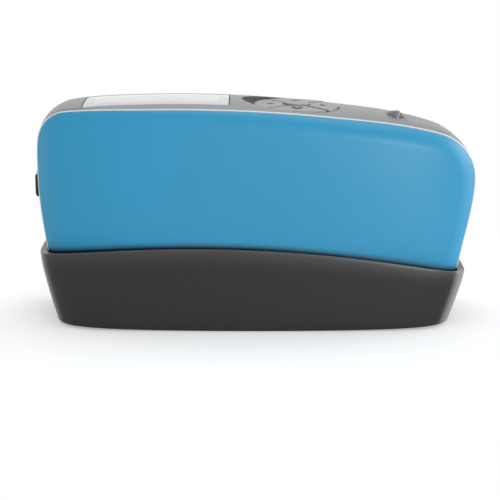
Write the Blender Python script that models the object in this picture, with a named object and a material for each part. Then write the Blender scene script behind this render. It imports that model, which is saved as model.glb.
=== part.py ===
"""A handheld gloss meter, standing in its calibration holder.

The body is a moulded frame, a band that runs round the side profile, closed by two domed side covers.
Metres, +Z up. X runs along the body, the display is towards -X, and the front cover faces -Y.
The origin is at the bottom centre, on the surface that the feet stand on.
"""

import math

import bmesh
import bpy
from mathutils import Matrix, Vector

# General fits
FIT = 0.0003
SEAM_GAP = 0.00015
ROUND_STEPS = 20
SMALL_STEPS = 12
OVERSHOOT = 0.0020
STRAIGHT = 0.001

# Calibration tile, lying on its pad in the holder, with the retainer over its edges
HOLDER_FLOOR = 0.0034
TILE_HALF_LENGTH = 0.0230
TILE_HALF_DEPTH = 0.0140
TILE_THICKNESS = 0.0031
TILE_PAD_THICKNESS = 0.0008
WELL_WALL = 0.0022
RETAINER_LIP = 0.0005
RETAINER_COVER = 0.0020
RETAINER_WALL = 0.0009
RETAINER_SKIRT = 0.0035
PAD_BOTTOM = HOLDER_FLOOR + FIT
TILE_BOTTOM = PAD_BOTTOM + TILE_PAD_THICKNESS + FIT
TILE_TOP = TILE_BOTTOM + TILE_THICKNESS
RETAINER_TOP = TILE_TOP + FIT + RETAINER_LIP

# Side profile of the body: x, z and heading in degrees, clockwise from the left end, seen from -Y.
# The last number of each row is how many steps the curve to the next row takes. The upper and the
# lower half have as many steps, so that the covers close with strips from one half to the other.
SOLE_HEIGHT = RETAINER_TOP + FIT
LOW_HEIGHT = 0.0180
LOW_LEFT = -0.0723
LOW_RIGHT = 0.0714
PROFILE = (
    (-0.0770, 0.0540, 90.0, 2),
    (-0.0765, 0.0660, 80.0, 7),
    (-0.0665, 0.0760, 7.0, 4),
    (-0.0360, 0.0773, 1.0, 7),
    (0.0240, 0.0746, -6.0, 5),
    (0.0640, 0.0681, -17.0, 8),
    (0.0777, 0.0500, -92.0, 4),
    (0.0735, 0.0275, -103.0, 2),
    (LOW_RIGHT, LOW_HEIGHT, -103.0, 6),
    (0.0625, SOLE_HEIGHT, 180.0, 10),
    (-0.0640, SOLE_HEIGHT, 180.0, 6),
    (LOW_LEFT, LOW_HEIGHT, 101.0, 5),
)

# Plan of the body
SEAM_DEPTH = 0.0195
FACE_DEPTH = 0.0240
PLAN_MARGIN = 0.0023
PLAN_REACH = max(row[0] for row in PROFILE) + PLAN_MARGIN
PLAN_POWER = 3.0
FACE_BULGE = 0.055
FACE_MIDDLE_HEIGHT = 0.044
FACE_HALF_HEIGHT = 0.034

# Frame
FRAME_WALL = 0.0022
SOLE_WALL = 0.0036
CROWN = 0.0018
CROWN_CENTRE = -0.0120
CROWN_REACH = 0.1050
CROWN_FADE = 0.0300
CROWN_STEPS = 10

# Covers and trim
COVER_WALL = 0.0020
COVER_ROUND = 0.0062
COVER_SPINE = 0.0400
COVER_TURNS = (0, 22, 45, 67, 90)
COVER_INNER_TURNS = (90, 45, 0)
TRIM_WIDTH = 0.0006
TRIM_PROUD = 0.0001

# Keypad
KEYPAD_X = 0.0143
KEYPAD_SUNK = 0.0010
KEYPAD_SLOPE = -0.035
KEYPAD_RADIUS = 0.0150
CENTRE_KEY_RADIUS = 0.0061
KEY_GAP = 0.0005
KEY_RISE = 0.0004
CENTRE_KEY_RISE = 0.0007
CENTRE_KEY_EDGE = 0.0005
KEY_EDGE = 0.0003
KEY_FLANGE = 0.0009
KEY_FLANGE_THICKNESS = 0.0008
KEY_TRAVEL = 0.0005
DISH_SLOPE = 0.40
DISH_REACH = 0.0080
MAT_THICKNESS = 0.0012
MAT_MARGIN = 0.0016
MAT_RADIUS = KEYPAD_RADIUS + KEY_FLANGE + MAT_MARGIN
MAT_SKIRT = 0.0012

# Display
WINDOW_GAP = 0.0089
WINDOW_RIGHT = KEYPAD_X - KEYPAD_RADIUS - WINDOW_GAP
WINDOW_LENGTH = 0.0510
WINDOW_LEFT = WINDOW_RIGHT - WINDOW_LENGTH
WINDOW_HALF_DEPTH = 0.0125
WINDOW_THICKNESS = 0.0014
WINDOW_SUNK = 0.0001
WINDOW_LEDGE = 0.0020
GASKET_THICKNESS = 0.0010
GASKET_BORDER = 0.0016
LCD_THICKNESS = 0.0024
LIGHT_THICKNESS = 0.0051

# Measuring button
BUTTON_GAP = 0.0173
BUTTON_LENGTH = 0.0062
BUTTON_FALL = 0.0017
BUTTON_LEFT = KEYPAD_X + KEYPAD_RADIUS + BUTTON_GAP
BUTTON_RIGHT = BUTTON_LEFT + BUTTON_LENGTH
BUTTON_RIDGE = BUTTON_RIGHT - BUTTON_FALL
BUTTON_HALF_DEPTH = 0.0075
BUTTON_RISE = 0.0013
BUTTON_SCOOP = 0.0006
BUTTON_FLANGE = 0.0009
BUTTON_TRAVEL = 0.0005
BUTTON_CURVE = 1.5
SWITCH_SIDE = 0.0060
PLUNGER_RADIUS = 0.0017
PLUNGER_HEIGHT = 0.0006

# Main board
BOARD_THICKNESS = 0.0016
BOARD_HALF_DEPTH = 0.0130
BOARD_MARGIN = 0.0035
BOSS_RADIUS = 0.0023
BOSS_CLEARANCE = 0.0016
BOSS_LEFT = WINDOW_LEFT + WINDOW_LEDGE - BOSS_RADIUS - BOSS_CLEARANCE
BOSS_RIGHT = (KEYPAD_X + MAT_RADIUS + BUTTON_LEFT) / 2
BOSS_INSET = 0.0040
BOSS_Y = BOARD_HALF_DEPTH - BOSS_INSET
BOARD_LEFT = BOSS_LEFT - BOARD_MARGIN
BOARD_RIGHT = BUTTON_RIGHT + BOARD_MARGIN
BOARD_SCREW_RADIUS = 0.0007
BOARD_SCREW_HEAD = 0.0020
BOARD_SCREW_HEAD_HEIGHT = 0.0011
BOARD_SCREW_HEAD_EDGE = 0.0004
BOARD_SCREW_LENGTH = 0.0055

# Port on the left end
PORT_HEIGHT = 0.0492
PORT_HALF_WIDTH = 0.0062
PORT_HALF_HEIGHT = 0.0050
PORT_COVER_THICKNESS = 0.0016
PORT_COVER_PROUD = 0.0003
PORT_COVER_EDGE = 0.0004
SOCKET_HALF_WIDTH = 0.0045
SOCKET_HALF_HEIGHT = 0.0016
SOCKET_LENGTH = 0.0075
SOCKET_WALL = 0.0004
SOCKET_BACK = 0.0020
TONGUE_HALF_WIDTH = 0.0031
TONGUE_HALF_HEIGHT = 0.0004
TONGUE_SETBACK = 0.0012

# Sole
SOLE_PLATE_HALF_LENGTH = 0.0540
SOLE_PLATE_HALF_DEPTH = 0.0145
SOLE_PLATE_THICKNESS = 0.0017
SOLE_PLATE_TOP = SOLE_HEIGHT + SOLE_PLATE_THICKNESS
APERTURE_HALF_LENGTH = 0.0180
APERTURE_HALF_DEPTH = 0.0070
SOLE_SCREW_INSET = 0.0045
SOLE_SCREW_X = SOLE_PLATE_HALF_LENGTH - SOLE_SCREW_INSET
SOLE_SCREW_Y = SOLE_PLATE_HALF_DEPTH - SOLE_SCREW_INSET
SOLE_LEDGE = 0.0110
SOLE_OPENING_HALF_LENGTH = SOLE_PLATE_HALF_LENGTH - SOLE_LEDGE
APERTURE_BORDER = 0.0015
SOLE_OPENING_HALF_DEPTH = APERTURE_HALF_DEPTH + APERTURE_BORDER
SOLE_SCREW_RADIUS = 0.0010
SOLE_SCREW_HEAD = 0.0022
SOLE_SCREW_LENGTH = 0.0042

# Optics: two tubes at the measuring angle from the upright, which meet on the tile
MEASURING_ANGLE = 60.0
TUBE_RADIUS = 0.0078
TUBE_WALL = 0.0023
LENS_LEDGE = 0.0010
BORE_RADIUS = TUBE_RADIUS - TUBE_WALL
THROAT_RADIUS = BORE_RADIUS - LENS_LEDGE
TUBE_LENGTH = 0.0620
LENS_DEPTH = 0.0220
LENS_SEAT = TUBE_LENGTH - LENS_DEPTH
LENS_EDGE = 0.0018
LENS_BULGE = 0.0012
OPTICS_BASE_HEIGHT = 0.0055
WELL_DEPTH = 0.0040
WEB_HALF_THICKNESS = 0.0015
END_FLANGE_SETBACK = 0.0004
END_FLANGE_RADIUS = TUBE_RADIUS - END_FLANGE_SETBACK
END_FLANGE_THICKNESS = 0.0018
LED_PLUG_LENGTH = 0.0070
LED_TIP_RADIUS = 0.0025
SENSOR_PLUG_LENGTH = 0.0035
SENSOR_TIP_RADIUS = 0.0015

# Battery
BATTERY_RADIUS = 0.0071
BATTERY_HALF_LENGTH = 0.0245
BATTERY_EDGE = 0.0008
TERMINAL_RADIUS = 0.0026
TERMINAL_LENGTH = 0.0010
BATTERY_GAP = 0.0005
CLIP_THICKNESS = 0.0010
CLIP_SETBACK = 0.0055
CLIP_HALF_LENGTH = BATTERY_HALF_LENGTH - CLIP_SETBACK
CLIP_ARM = 0.0095

# Holder
HOLDER_BOTTOM = 0.0006
HOLDER_WALL = 0.0018
HOLDER_POWER = 4.6
HOLDER_LEFT_GAP = 0.0018
HOLDER_RIGHT_GAP = 0.0016
HOLDER_LEFT_FLARE = (0.290, 2.8)
HOLDER_RIGHT_FLARE = (0.380, 2.5)
HOLDER_SIDE_GAP = 0.0009
HOLDER_DEPTH_FLARE = 0.045
RIM_APEX_X = -0.0200
RIM_APEX_HEIGHT = 0.0296
RIM_RADIUS = 0.3950
RIM_EDGE = 0.0004
HOLDER_EDGE = 0.0016
HOLDER_STEPS = 64
LEDGE_THICKNESS = 0.0024
LEDGE_SETBACK = 0.0040
LEDGE_X = SOLE_PLATE_HALF_LENGTH + LEDGE_SETBACK
LEDGE_HALF_DEPTH = 0.0120

# Feet, on the underside of the holder
FOOT_RADIUS = 0.0042
FOOT_THICKNESS = 0.0016
FOOT_EDGE = 0.0004
FOOT_INSET_X = 0.0130
FOOT_INSET_Y = 0.0114


# Meshes and objects


def srgb(red, green, blue):
    """A colour given as it looks on a screen, from 0 to 255, as linear values."""
    return tuple((value / 255) ** 2.2 for value in (red, green, blue)) + (1.0,)


def material(name, colour, roughness, metallic=0.0):
    finish = bpy.data.materials.new(name)
    finish.use_nodes = True
    shader = finish.node_tree.nodes["Principled BSDF"]
    shader.inputs["Base Color"].default_value = colour
    shader.inputs["Roughness"].default_value = roughness
    shader.inputs["Metallic"].default_value = metallic
    return finish


def add_object(name, mesh, finish=None, origin=(0.0, 0.0, 0.0)):
    """Makes an object of a bmesh given in world space, with the object's own origin at the point given."""
    bmesh.ops.remove_doubles(mesh, verts=mesh.verts, dist=1e-7)
    bmesh.ops.recalc_face_normals(mesh, faces=mesh.faces)
    bmesh.ops.translate(mesh, verts=mesh.verts, vec=-Vector(origin))
    data = bpy.data.meshes.new(name)
    mesh.to_mesh(data)
    mesh.free()
    data.shade_smooth()
    data.set_sharp_from_angle(angle=math.radians(35))
    made = bpy.data.objects.new(name, data)
    made.location = origin
    bpy.context.scene.collection.objects.link(made)
    if finish is None:
        made.hide_render = True
        made.display_type = "WIRE"
    else:
        data.materials.append(finish)
    return made


def combine(target, other, operation):
    """Adds a Boolean with a hidden helper object."""
    modifier = target.modifiers.new(other.name, "BOOLEAN")
    modifier.operation = operation
    modifier.object = other
    modifier.solver = "EXACT"


def bridge(mesh, first, second):
    """Joins two loops of vertices of the same length with quads."""
    count = len(first)
    for i in range(count):
        j = (i + 1) % count
        mesh.faces.new((first[i], first[j], second[j], second[i]))


def close_with_strips(mesh, loop):
    """Closes a long loop with quads that run straight across it."""
    count = len(loop)
    mesh.faces.new((loop[0], loop[1], loop[count - 1]))
    for i in range(1, count // 2 - 1):
        mesh.faces.new((loop[i], loop[i + 1], loop[count - i - 1], loop[count - i]))
    mesh.faces.new((loop[count // 2 - 1], loop[count // 2], loop[count // 2 + 1]))


def loft(rings, ends="faces"):
    """Bridges rings of points in order. The ends are closed by faces or strips, or joined to each other."""
    mesh = bmesh.new()
    loops = [[mesh.verts.new(point) for point in ring] for ring in rings]
    for first, second in zip(loops, loops[1:]):
        bridge(mesh, first, second)
    if ends == "joined":
        bridge(mesh, loops[-1], loops[0])
    elif ends == "strips":
        close_with_strips(mesh, loops[0])
        close_with_strips(mesh, loops[-1])
    else:
        mesh.faces.new(loops[0])
        mesh.faces.new(loops[-1])
    return mesh


def slab(xs, ys, top, bottom):
    """A solid over a grid in plan, between two surfaces given as functions of x and y."""
    mesh = bmesh.new()
    upper = [[mesh.verts.new((x, y, top(x, y))) for x in xs] for y in ys]
    lower = [[mesh.verts.new((x, y, bottom(x, y))) for x in xs] for y in ys]
    for grid in (upper, lower):
        for row, after in zip(grid, grid[1:]):
            for i in range(len(xs) - 1):
                mesh.faces.new((row[i], row[i + 1], after[i + 1], after[i]))
    bridge(mesh, around(upper), around(lower))
    return mesh


def around(grid):
    """The vertices on the border of a grid, in order."""
    sides = [row[-1] for row in grid[1:-1]]
    back = [row[0] for row in grid[1:-1]]
    return grid[0] + sides + grid[-1][::-1] + back[::-1]


def box(low, high):
    xs, ys = (low[0], high[0]), (low[1], high[1])
    return slab(xs, ys, lambda x, y: high[2], lambda x, y: low[2])


def turned(outline, placing, steps=ROUND_STEPS):
    """Turns an outline of (radius, height) points about Z and places it. Both ends are closed by a face."""
    rings = []
    for radius, height in outline:
        turn = [math.tau * i / steps for i in range(steps)]
        rings.append([placing @ Vector((radius * math.cos(a), radius * math.sin(a), height)) for a in turn])
    return loft(rings)


def upright(x, y):
    return Matrix.Translation((x, y, 0.0))


def spaced(start, end, steps):
    return [start + (end - start) * i / steps for i in range(steps + 1)]


# The body's own curves


def curve_span(start, end):
    """Points of the curve from one row of the profile up to the next, which is left out."""
    turn = math.radians(end[2] - start[2])
    turn = (turn + math.pi) % math.tau - math.pi
    chord = math.hypot(end[0] - start[0], end[1] - start[1])
    reach = chord / 3
    if abs(turn) > STRAIGHT:
        reach = chord * (2 / 3) * math.tan(abs(turn) / 4) / math.sin(abs(turn) / 2)
    corners = (
        Vector(start[:2]),
        Vector(start[:2]) + reach * heading(start[2]),
        Vector(end[:2]) - reach * heading(end[2]),
        Vector(end[:2]),
    )
    return [curve_point(corners, share) for share in spaced(0.0, 1.0, start[3])[:-1]]


def curve_point(corners, t):
    """The point at a share of the way along a cubic curve."""
    weights = ((1 - t) ** 3, 3 * t * (1 - t) ** 2, 3 * t * t * (1 - t), t**3)
    point = Vector((0.0, 0.0))
    for weight, corner in zip(weights, corners):
        point += weight * corner
    return point


def heading(degrees):
    return Vector((math.cos(math.radians(degrees)), math.sin(math.radians(degrees))))


def profile_points():
    points = []
    for start, end in zip(PROFILE, PROFILE[1:] + PROFILE[:1]):
        points += curve_span(start, end)
    return points


def profile_normals(points):
    """Outward directions of a closed line that runs clockwise."""
    count = len(points)
    normals = []
    for i in range(count):
        along = points[(i + 1) % count] - points[i - 1]
        normals.append(Vector((-along.y, along.x)).normalized())
    return normals


LINE = profile_points()
NORMALS = profile_normals(LINE)


def top_height(x):
    """Height of the seam line over the top of the body."""
    above = [point for point in LINE if point.y > FACE_MIDDLE_HEIGHT]
    for left, right in zip(above, above[1:]):
        if left.x <= x <= right.x:
            return left.y + (right.y - left.y) * (x - left.x) / (right.x - left.x)
    return above[0].y


def plan_share(x):
    """How much of its full depth the body has at this x, from 1 in the middle to nearly 0 at the ends."""
    return (1 - min(abs(x) / PLAN_REACH, 0.995) ** PLAN_POWER) ** (1 / PLAN_POWER)


def seam_depth(x):
    return SEAM_DEPTH * plan_share(x)


def face_depth(x, z):
    bulge = 1 - FACE_BULGE * ((z - FACE_MIDDLE_HEIGHT) / FACE_HALF_HEIGHT) ** 2
    return FACE_DEPTH * plan_share(x) * bulge


def crown(x, z):
    """How far the middle of the band stands proud of its two seams."""
    along = 1 - ((x - CROWN_CENTRE) / CROWN_REACH) ** 2
    return CROWN * along * min(1.0, (z - SOLE_HEIGHT) / CROWN_FADE)


def band_height(x, y):
    """Height of the outer surface of the band on top of the body."""
    z = top_height(x)
    return z + crown(x, z) * (1 - (y / seam_depth(x)) ** 2)


def band_inside(x):
    """Height of the inner surface of the band on top of the body."""
    return top_height(x) - FRAME_WALL


# The keys' plane lies a little under the band, and the board hangs under the display
KEYPAD_HEIGHT = band_height(KEYPAD_X, 0.0) - KEYPAD_SUNK
BOARD_TOP = band_inside(WINDOW_LEFT) - GASKET_THICKNESS - LCD_THICKNESS - LIGHT_THICKNESS - 4 * FIT

# The battery lies over the two tubes, in a clip that stands on the optics
SINE = math.sin(math.radians(MEASURING_ANGLE))
COSINE = math.cos(math.radians(MEASURING_ANGLE))
OPTICS_BOTTOM = SOLE_PLATE_TOP + FIT
BATTERY_BOTTOM = TILE_TOP + (BATTERY_HALF_LENGTH * COSINE + TUBE_RADIUS) / SINE + BATTERY_GAP
BATTERY_HEIGHT = BATTERY_BOTTOM + BATTERY_RADIUS
CLIP_BOTTOM = BATTERY_BOTTOM - FIT - CLIP_THICKNESS
WEB_HEIGHT = CLIP_BOTTOM - FIT

# The tubes start where their lowest points are just above the underside of the optics
TUBE_START = (OPTICS_BOTTOM + FIT - TILE_TOP + TUBE_RADIUS * SINE) / COSINE


def keypad_height(x):
    """Height of the keys' plane, which leans a little down to the right."""
    return KEYPAD_HEIGHT + KEYPAD_SLOPE * (x - KEYPAD_X)


def end_surface(z):
    """X of the outer surface of the band on the left end, in the middle of its depth."""
    upward = zip(LINE, LINE[1:] + LINE[:1])
    low, high = [(a, b) for a, b in upward if a.x < 0 and a.y <= z <= b.y][0]
    x = low.x + (high.x - low.x) * (z - low.y) / (high.y - low.y)
    return x - crown(x, z)


# Frame


def frame_section(point, normal):
    """The closed section of the band at one place on the profile."""
    depth = seam_depth(point.x)
    proud = crown(point.x, point.y)
    wall = SOLE_WALL if normal.y < -0.9 else FRAME_WALL
    outer = []
    for s in spaced(-1.0, 1.0, CROWN_STEPS):
        place = point + normal * proud * (1 - s * s)
        outer.append((place.x, s * depth, place.y))
    inside = point - normal * wall
    return outer + [(inside.x, depth, inside.y), (inside.x, 0.0, inside.y), (inside.x, -depth, inside.y)]


def make_frame(finish):
    rings = [frame_section(point, normal) for point, normal in zip(LINE, NORMALS)]
    frame = add_object("body_frame", loft(rings, "joined"), finish)
    for number, (x, y) in enumerate(boss_places(), 1):
        outline = ((BOSS_RADIUS, BOARD_TOP + FIT), (BOSS_RADIUS, band_inside(x) + FRAME_WALL / 2))
        combine(frame, add_object(f"boss_{number}", turned(outline, upright(x, y))), "UNION")
    cutters = window_cutters() + [keypad_cutter(), button_cutter()] + port_cutters() + sole_cutters()
    for cutter in cutters:
        combine(frame, cutter, "DIFFERENCE")
    for number, (x, y) in enumerate(boss_places(), 1):
        radius = BOARD_SCREW_RADIUS + FIT
        outline = ((radius, BOARD_TOP - FIT), (radius, BOARD_TOP + BOARD_SCREW_LENGTH))
        pilot = turned(outline, upright(x, y), SMALL_STEPS)
        combine(frame, add_object(f"pilot_{number}", pilot), "DIFFERENCE")
    return frame


def boss_places():
    return [(x, y) for x in (BOSS_LEFT, BOSS_RIGHT) for y in (BOSS_Y, -BOSS_Y)]


def window_cutters():
    """The pocket that the window lies in, and the opening under it for the display."""
    xs = spaced(WINDOW_LEFT - FIT, WINDOW_RIGHT + FIT, 8)
    ys = spaced(-WINDOW_HALF_DEPTH - FIT, WINDOW_HALF_DEPTH + FIT, 6)
    sunk = WINDOW_SUNK + WINDOW_THICKNESS + FIT
    pocket = slab(xs, ys, lambda x, y: band_height(x, y) + OVERSHOOT, lambda x, y: band_height(x, y) - sunk)
    opening = display_box(0.0, band_inside(WINDOW_LEFT) - OVERSHOOT, KEYPAD_HEIGHT + CROWN)
    return [add_object("window_pocket", pocket), add_object("window_opening", opening)]


def keypad_ring(radius, height, steps=48):
    """A ring round the middle of the keypad. Its height is a function of x."""
    ring = []
    for i in range(steps):
        turn = math.tau * i / steps
        x = KEYPAD_X + radius * math.cos(turn)
        ring.append((x, radius * math.sin(turn), height(x)))
    return ring


def keypad_cutter():
    """The round hole for the keys, and the dish that flares from it up to the band's surface."""
    hole = KEYPAD_RADIUS + FIT
    lip = hole + DISH_REACH
    rise = DISH_SLOPE * DISH_REACH
    rings = (
        keypad_ring(hole, lambda x: band_inside(x) - OVERSHOOT),
        keypad_ring(hole, keypad_height),
        keypad_ring(lip, lambda x: keypad_height(x) + rise),
        keypad_ring(lip, lambda x: keypad_height(x) + 2 * rise),
    )
    return add_object("keypad_hole", loft(rings))


def button_cutter():
    low = (BUTTON_LEFT - FIT, -BUTTON_HALF_DEPTH - FIT, band_inside(BUTTON_RIGHT) - OVERSHOOT)
    high = (BUTTON_RIGHT + FIT, BUTTON_HALF_DEPTH + FIT, KEYPAD_HEIGHT)
    return add_object("button_opening", box(low, high))


def port_floor():
    """X of the floor of the recess that the port cover lies in."""
    return end_surface(PORT_HEIGHT) + PORT_COVER_THICKNESS - PORT_COVER_PROUD


def port_cutters():
    """The recess for the port cover, and the slot in its floor for the socket."""
    outside = end_surface(PORT_HEIGHT) - OVERSHOOT
    width, height = PORT_HALF_WIDTH + FIT, PORT_HALF_HEIGHT + FIT
    recess = box((outside, -width, PORT_HEIGHT - height), (port_floor() + FIT, width, PORT_HEIGHT + height))
    width, height = SOCKET_HALF_WIDTH + FIT, SOCKET_HALF_HEIGHT + FIT
    inside = port_floor() + 2 * FRAME_WALL
    slot = box((outside, -width, PORT_HEIGHT - height), (inside, width, PORT_HEIGHT + height))
    return [add_object("port_recess", recess), add_object("port_slot", slot)]


def sole_cutters():
    length, depth = SOLE_PLATE_HALF_LENGTH + FIT, SOLE_PLATE_HALF_DEPTH + FIT
    recess = box((-length, -depth, SOLE_HEIGHT - OVERSHOOT), (length, depth, SOLE_PLATE_TOP + FIT))
    length, depth = SOLE_OPENING_HALF_LENGTH + FIT, SOLE_OPENING_HALF_DEPTH + FIT
    above = SOLE_HEIGHT + SOLE_WALL + OVERSHOOT
    opening = box((-length, -depth, SOLE_HEIGHT - OVERSHOOT), (length, depth, above))
    cutters = [add_object("sole_recess", recess), add_object("sole_opening", opening)]
    radius = SOLE_SCREW_RADIUS + FIT
    outline = ((radius, SOLE_HEIGHT), (radius, above))
    for number, (x, y) in enumerate(sole_screw_places(), 1):
        cutters.append(add_object(f"sole_hole_{number}", turned(outline, upright(x, y), SMALL_STEPS)))
    return cutters


def sole_screw_places():
    return [(x, y) for x in (-SOLE_SCREW_X, SOLE_SCREW_X) for y in (-SOLE_SCREW_Y, SOLE_SCREW_Y)]


# Covers and trim


def cover_ring(side, inset, lift, wall, towards_spine=0.0):
    """A ring of a cover, set in from the profile and lifted from the seam towards the face."""
    ring = []
    for point, normal in zip(LINE, NORMALS):
        place = point - normal * inset
        spine = Vector((max(-COVER_SPINE, min(COVER_SPINE, place.x)), FACE_MIDDLE_HEIGHT))
        place = place.lerp(spine, towards_spine)
        edge = seam_depth(point.x) + 2 * SEAM_GAP + TRIM_WIDTH
        face = face_depth(place.x, place.y) - wall
        ring.append((place.x, side * (edge + (face - edge) * lift), place.y))
    return ring


def make_cover(name, side, finish):
    """One shell: its inside from the middle to the edge, then its outside from the edge to the middle."""
    inner_round = COVER_ROUND - COVER_WALL
    rings = [cover_ring(side, COVER_ROUND, 1.0, COVER_WALL, 0.7)]
    for turn in COVER_INNER_TURNS:
        angle = math.radians(turn)
        inset = COVER_ROUND - inner_round * math.cos(angle)
        rings.append(cover_ring(side, inset, math.sin(angle), COVER_WALL))
    for turn in COVER_TURNS:
        angle = math.radians(turn)
        rings.append(cover_ring(side, COVER_ROUND * (1 - math.cos(angle)), math.sin(angle), 0.0))
    rings += [cover_ring(side, COVER_ROUND, 1.0, 0.0, share) for share in (0.3, 0.7)]
    return add_object(name, loft(rings, "strips"), finish)


def make_trim(name, side, finish):
    """The thin gasket ring between the frame and a cover."""
    rings = []
    for offset, across in ((TRIM_PROUD, 0.0), (TRIM_PROUD, 1.0), (-COVER_WALL, 1.0), (-COVER_WALL, 0.0)):
        ring = []
        for point, normal in zip(LINE, NORMALS):
            place = point + normal * offset
            depth = seam_depth(point.x) + SEAM_GAP + TRIM_WIDTH * across
            ring.append((place.x, side * depth, place.y))
        rings.append(ring)
    return add_object(name, loft(rings, "joined"), finish)


# Display


def make_window(finish):
    xs = spaced(WINDOW_LEFT, WINDOW_RIGHT, 8)
    ys = spaced(-WINDOW_HALF_DEPTH, WINDOW_HALF_DEPTH, 6)

    def top(x, y):
        return band_height(x, y) - WINDOW_SUNK

    return add_object("display_window", slab(xs, ys, top, lambda x, y: top(x, y) - WINDOW_THICKNESS), finish)


def display_box(inset, low, high):
    """A block under the window's opening, set in from the window's edges."""
    left, right = WINDOW_LEFT + WINDOW_LEDGE + inset, WINDOW_RIGHT - WINDOW_LEDGE - inset
    depth = WINDOW_HALF_DEPTH - WINDOW_LEDGE - inset
    return box((left, -depth, low), (right, depth, high))


def make_display(gasket_finish, glass_finish, light_finish):
    gasket_top = band_inside(WINDOW_LEFT) - FIT
    gasket_bottom = gasket_top - GASKET_THICKNESS
    ring = display_box(-GASKET_BORDER, gasket_bottom, gasket_top)
    gasket = add_object("display_gasket", ring, gasket_finish)
    hole = display_box(GASKET_BORDER / 2, gasket_bottom - OVERSHOOT, gasket_top + OVERSHOOT)
    combine(gasket, add_object("gasket_hole", hole), "DIFFERENCE")
    panel_top = gasket_bottom - FIT
    panel_bottom = panel_top - LCD_THICKNESS
    add_object("lcd_panel", display_box(-GASKET_BORDER / 2, panel_bottom, panel_top), glass_finish)
    add_object("lcd_backlight", display_box(0.0, BOARD_TOP + FIT, panel_bottom - FIT), light_finish)


# Keypad


def sector_ring(middle, inner, outer, height, steps=9):
    """The outline of one of the four ring sectors, along its outer arc and back along its inner arc."""
    ring = []
    for radius, direction in ((outer, 1), (inner, -1)):
        half = math.radians(45) - math.asin(KEY_GAP / 2 / radius)
        for angle in spaced(middle - direction * half, middle + direction * half, steps):
            x = KEYPAD_X + radius * math.cos(angle)
            ring.append((x, radius * math.sin(angle), height(x, radius)))
    return ring


def key_top(x, radius):
    """Height of a ring key's face, which rises a little towards the middle."""
    return keypad_height(x) + KEY_RISE * (1 - radius / KEYPAD_RADIUS)


def flange_top(x, radius=0.0):
    """Height of the top of the flanges that keep the keys in, the same at every radius."""
    return band_inside(x) - FIT


def flange_bottom(x, radius=0.0):
    return flange_top(x, radius) - KEY_FLANGE_THICKNESS


def make_sector_key(name, degrees, finish):
    inner = CENTRE_KEY_RADIUS + KEY_GAP
    outer = KEYPAD_RADIUS
    middle = math.radians(degrees)
    rings = (
        sector_ring(middle, inner, outer + KEY_FLANGE, flange_bottom),
        sector_ring(middle, inner, outer + KEY_FLANGE, flange_top),
        sector_ring(middle, inner, outer, flange_top),
        sector_ring(middle, inner, outer, lambda x, radius: key_top(x, radius) - KEY_EDGE),
        sector_ring(middle, inner + KEY_EDGE, outer - KEY_EDGE, key_top),
    )
    mesh = bmesh.new()
    loops = [[mesh.verts.new(point) for point in ring] for ring in rings]
    for first, second in zip(loops, loops[1:]):
        bridge(mesh, first, second)
    for loop in (loops[0], loops[-1]):
        count = len(loop)
        for i in range(count // 2 - 1):
            mesh.faces.new((loop[i], loop[i + 1], loop[count - i - 2], loop[count - i - 1]))
    away = (inner + outer) / 2
    origin = (KEYPAD_X + away * math.cos(middle), away * math.sin(middle), KEYPAD_HEIGHT)
    return add_object(name, mesh, finish, origin)


def make_centre_key(finish):
    crest = KEY_RISE + CENTRE_KEY_RISE
    rings = [keypad_ring(CENTRE_KEY_RADIUS, flange_bottom, 32)]
    for share, drop in ((1.0, 1.0), (0.94, 0.4), (0.6, 0.1), (0.2, 0.0)):
        rise = crest - CENTRE_KEY_EDGE * drop
        rings.append(keypad_ring(CENTRE_KEY_RADIUS * share, lambda x: keypad_height(x) + rise, 32))
    return add_object("key_center", loft(rings), finish, (KEYPAD_X, 0.0, KEYPAD_HEIGHT))


def make_key_mat(finish):
    """The rubber mat under the keys, with a skirt down to the board."""
    inside = MAT_RADIUS - MAT_SKIRT
    middle = inside / 3

    def top(x):
        return flange_bottom(x) - KEY_TRAVEL - FIT

    def under(x):
        return top(x) - MAT_THICKNESS

    def foot(x):
        return BOARD_TOP + FIT

    below = ((middle, under), (inside, under), (inside, foot))
    above = ((MAT_RADIUS, foot), (MAT_RADIUS, top), (middle, top))
    rings = [keypad_ring(radius, height, 32) for radius, height in below + above]
    return add_object("key_mat", loft(rings), finish)


# Measuring button


def button_top(x, y):
    """A tab that is scooped on its left, rises to a ridge and drops steeply on its right."""
    left, ridge, right = BUTTON_LEFT, BUTTON_RIDGE, BUTTON_RIGHT
    if x <= ridge:
        share = (x - left) / (ridge - left)
        rise = BUTTON_RISE * share**BUTTON_CURVE - BUTTON_SCOOP * math.sin(math.pi * share)
    else:
        rise = BUTTON_RISE * (1 - (x - ridge) / (right - ridge))
    return band_height(x, y) + rise * math.sqrt(max(0.0, 1 - (y / BUTTON_HALF_DEPTH) ** 2))


def button_flange_top():
    return band_inside(BUTTON_RIGHT + BUTTON_FLANGE) - FIT


def make_button(finish):
    xs = spaced(BUTTON_LEFT, BUTTON_RIDGE, 5) + spaced(BUTTON_RIDGE, BUTTON_RIGHT, 3)[1:]
    ys = spaced(-BUTTON_HALF_DEPTH, BUTTON_HALF_DEPTH, 10)
    top = button_flange_top()
    tab = slab(xs, ys, button_top, lambda x, y: top - FRAME_WALL / 4)
    button = add_object("measure_button", tab, finish, ((BUTTON_LEFT + BUTTON_RIGHT) / 2, 0.0, top))
    low = (BUTTON_LEFT - BUTTON_FLANGE, -BUTTON_HALF_DEPTH - BUTTON_FLANGE, top - KEY_FLANGE_THICKNESS)
    high = (BUTTON_RIGHT + BUTTON_FLANGE, BUTTON_HALF_DEPTH + BUTTON_FLANGE, top)
    combine(button, add_object("button_flange", box(low, high)), "UNION")
    return button


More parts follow.
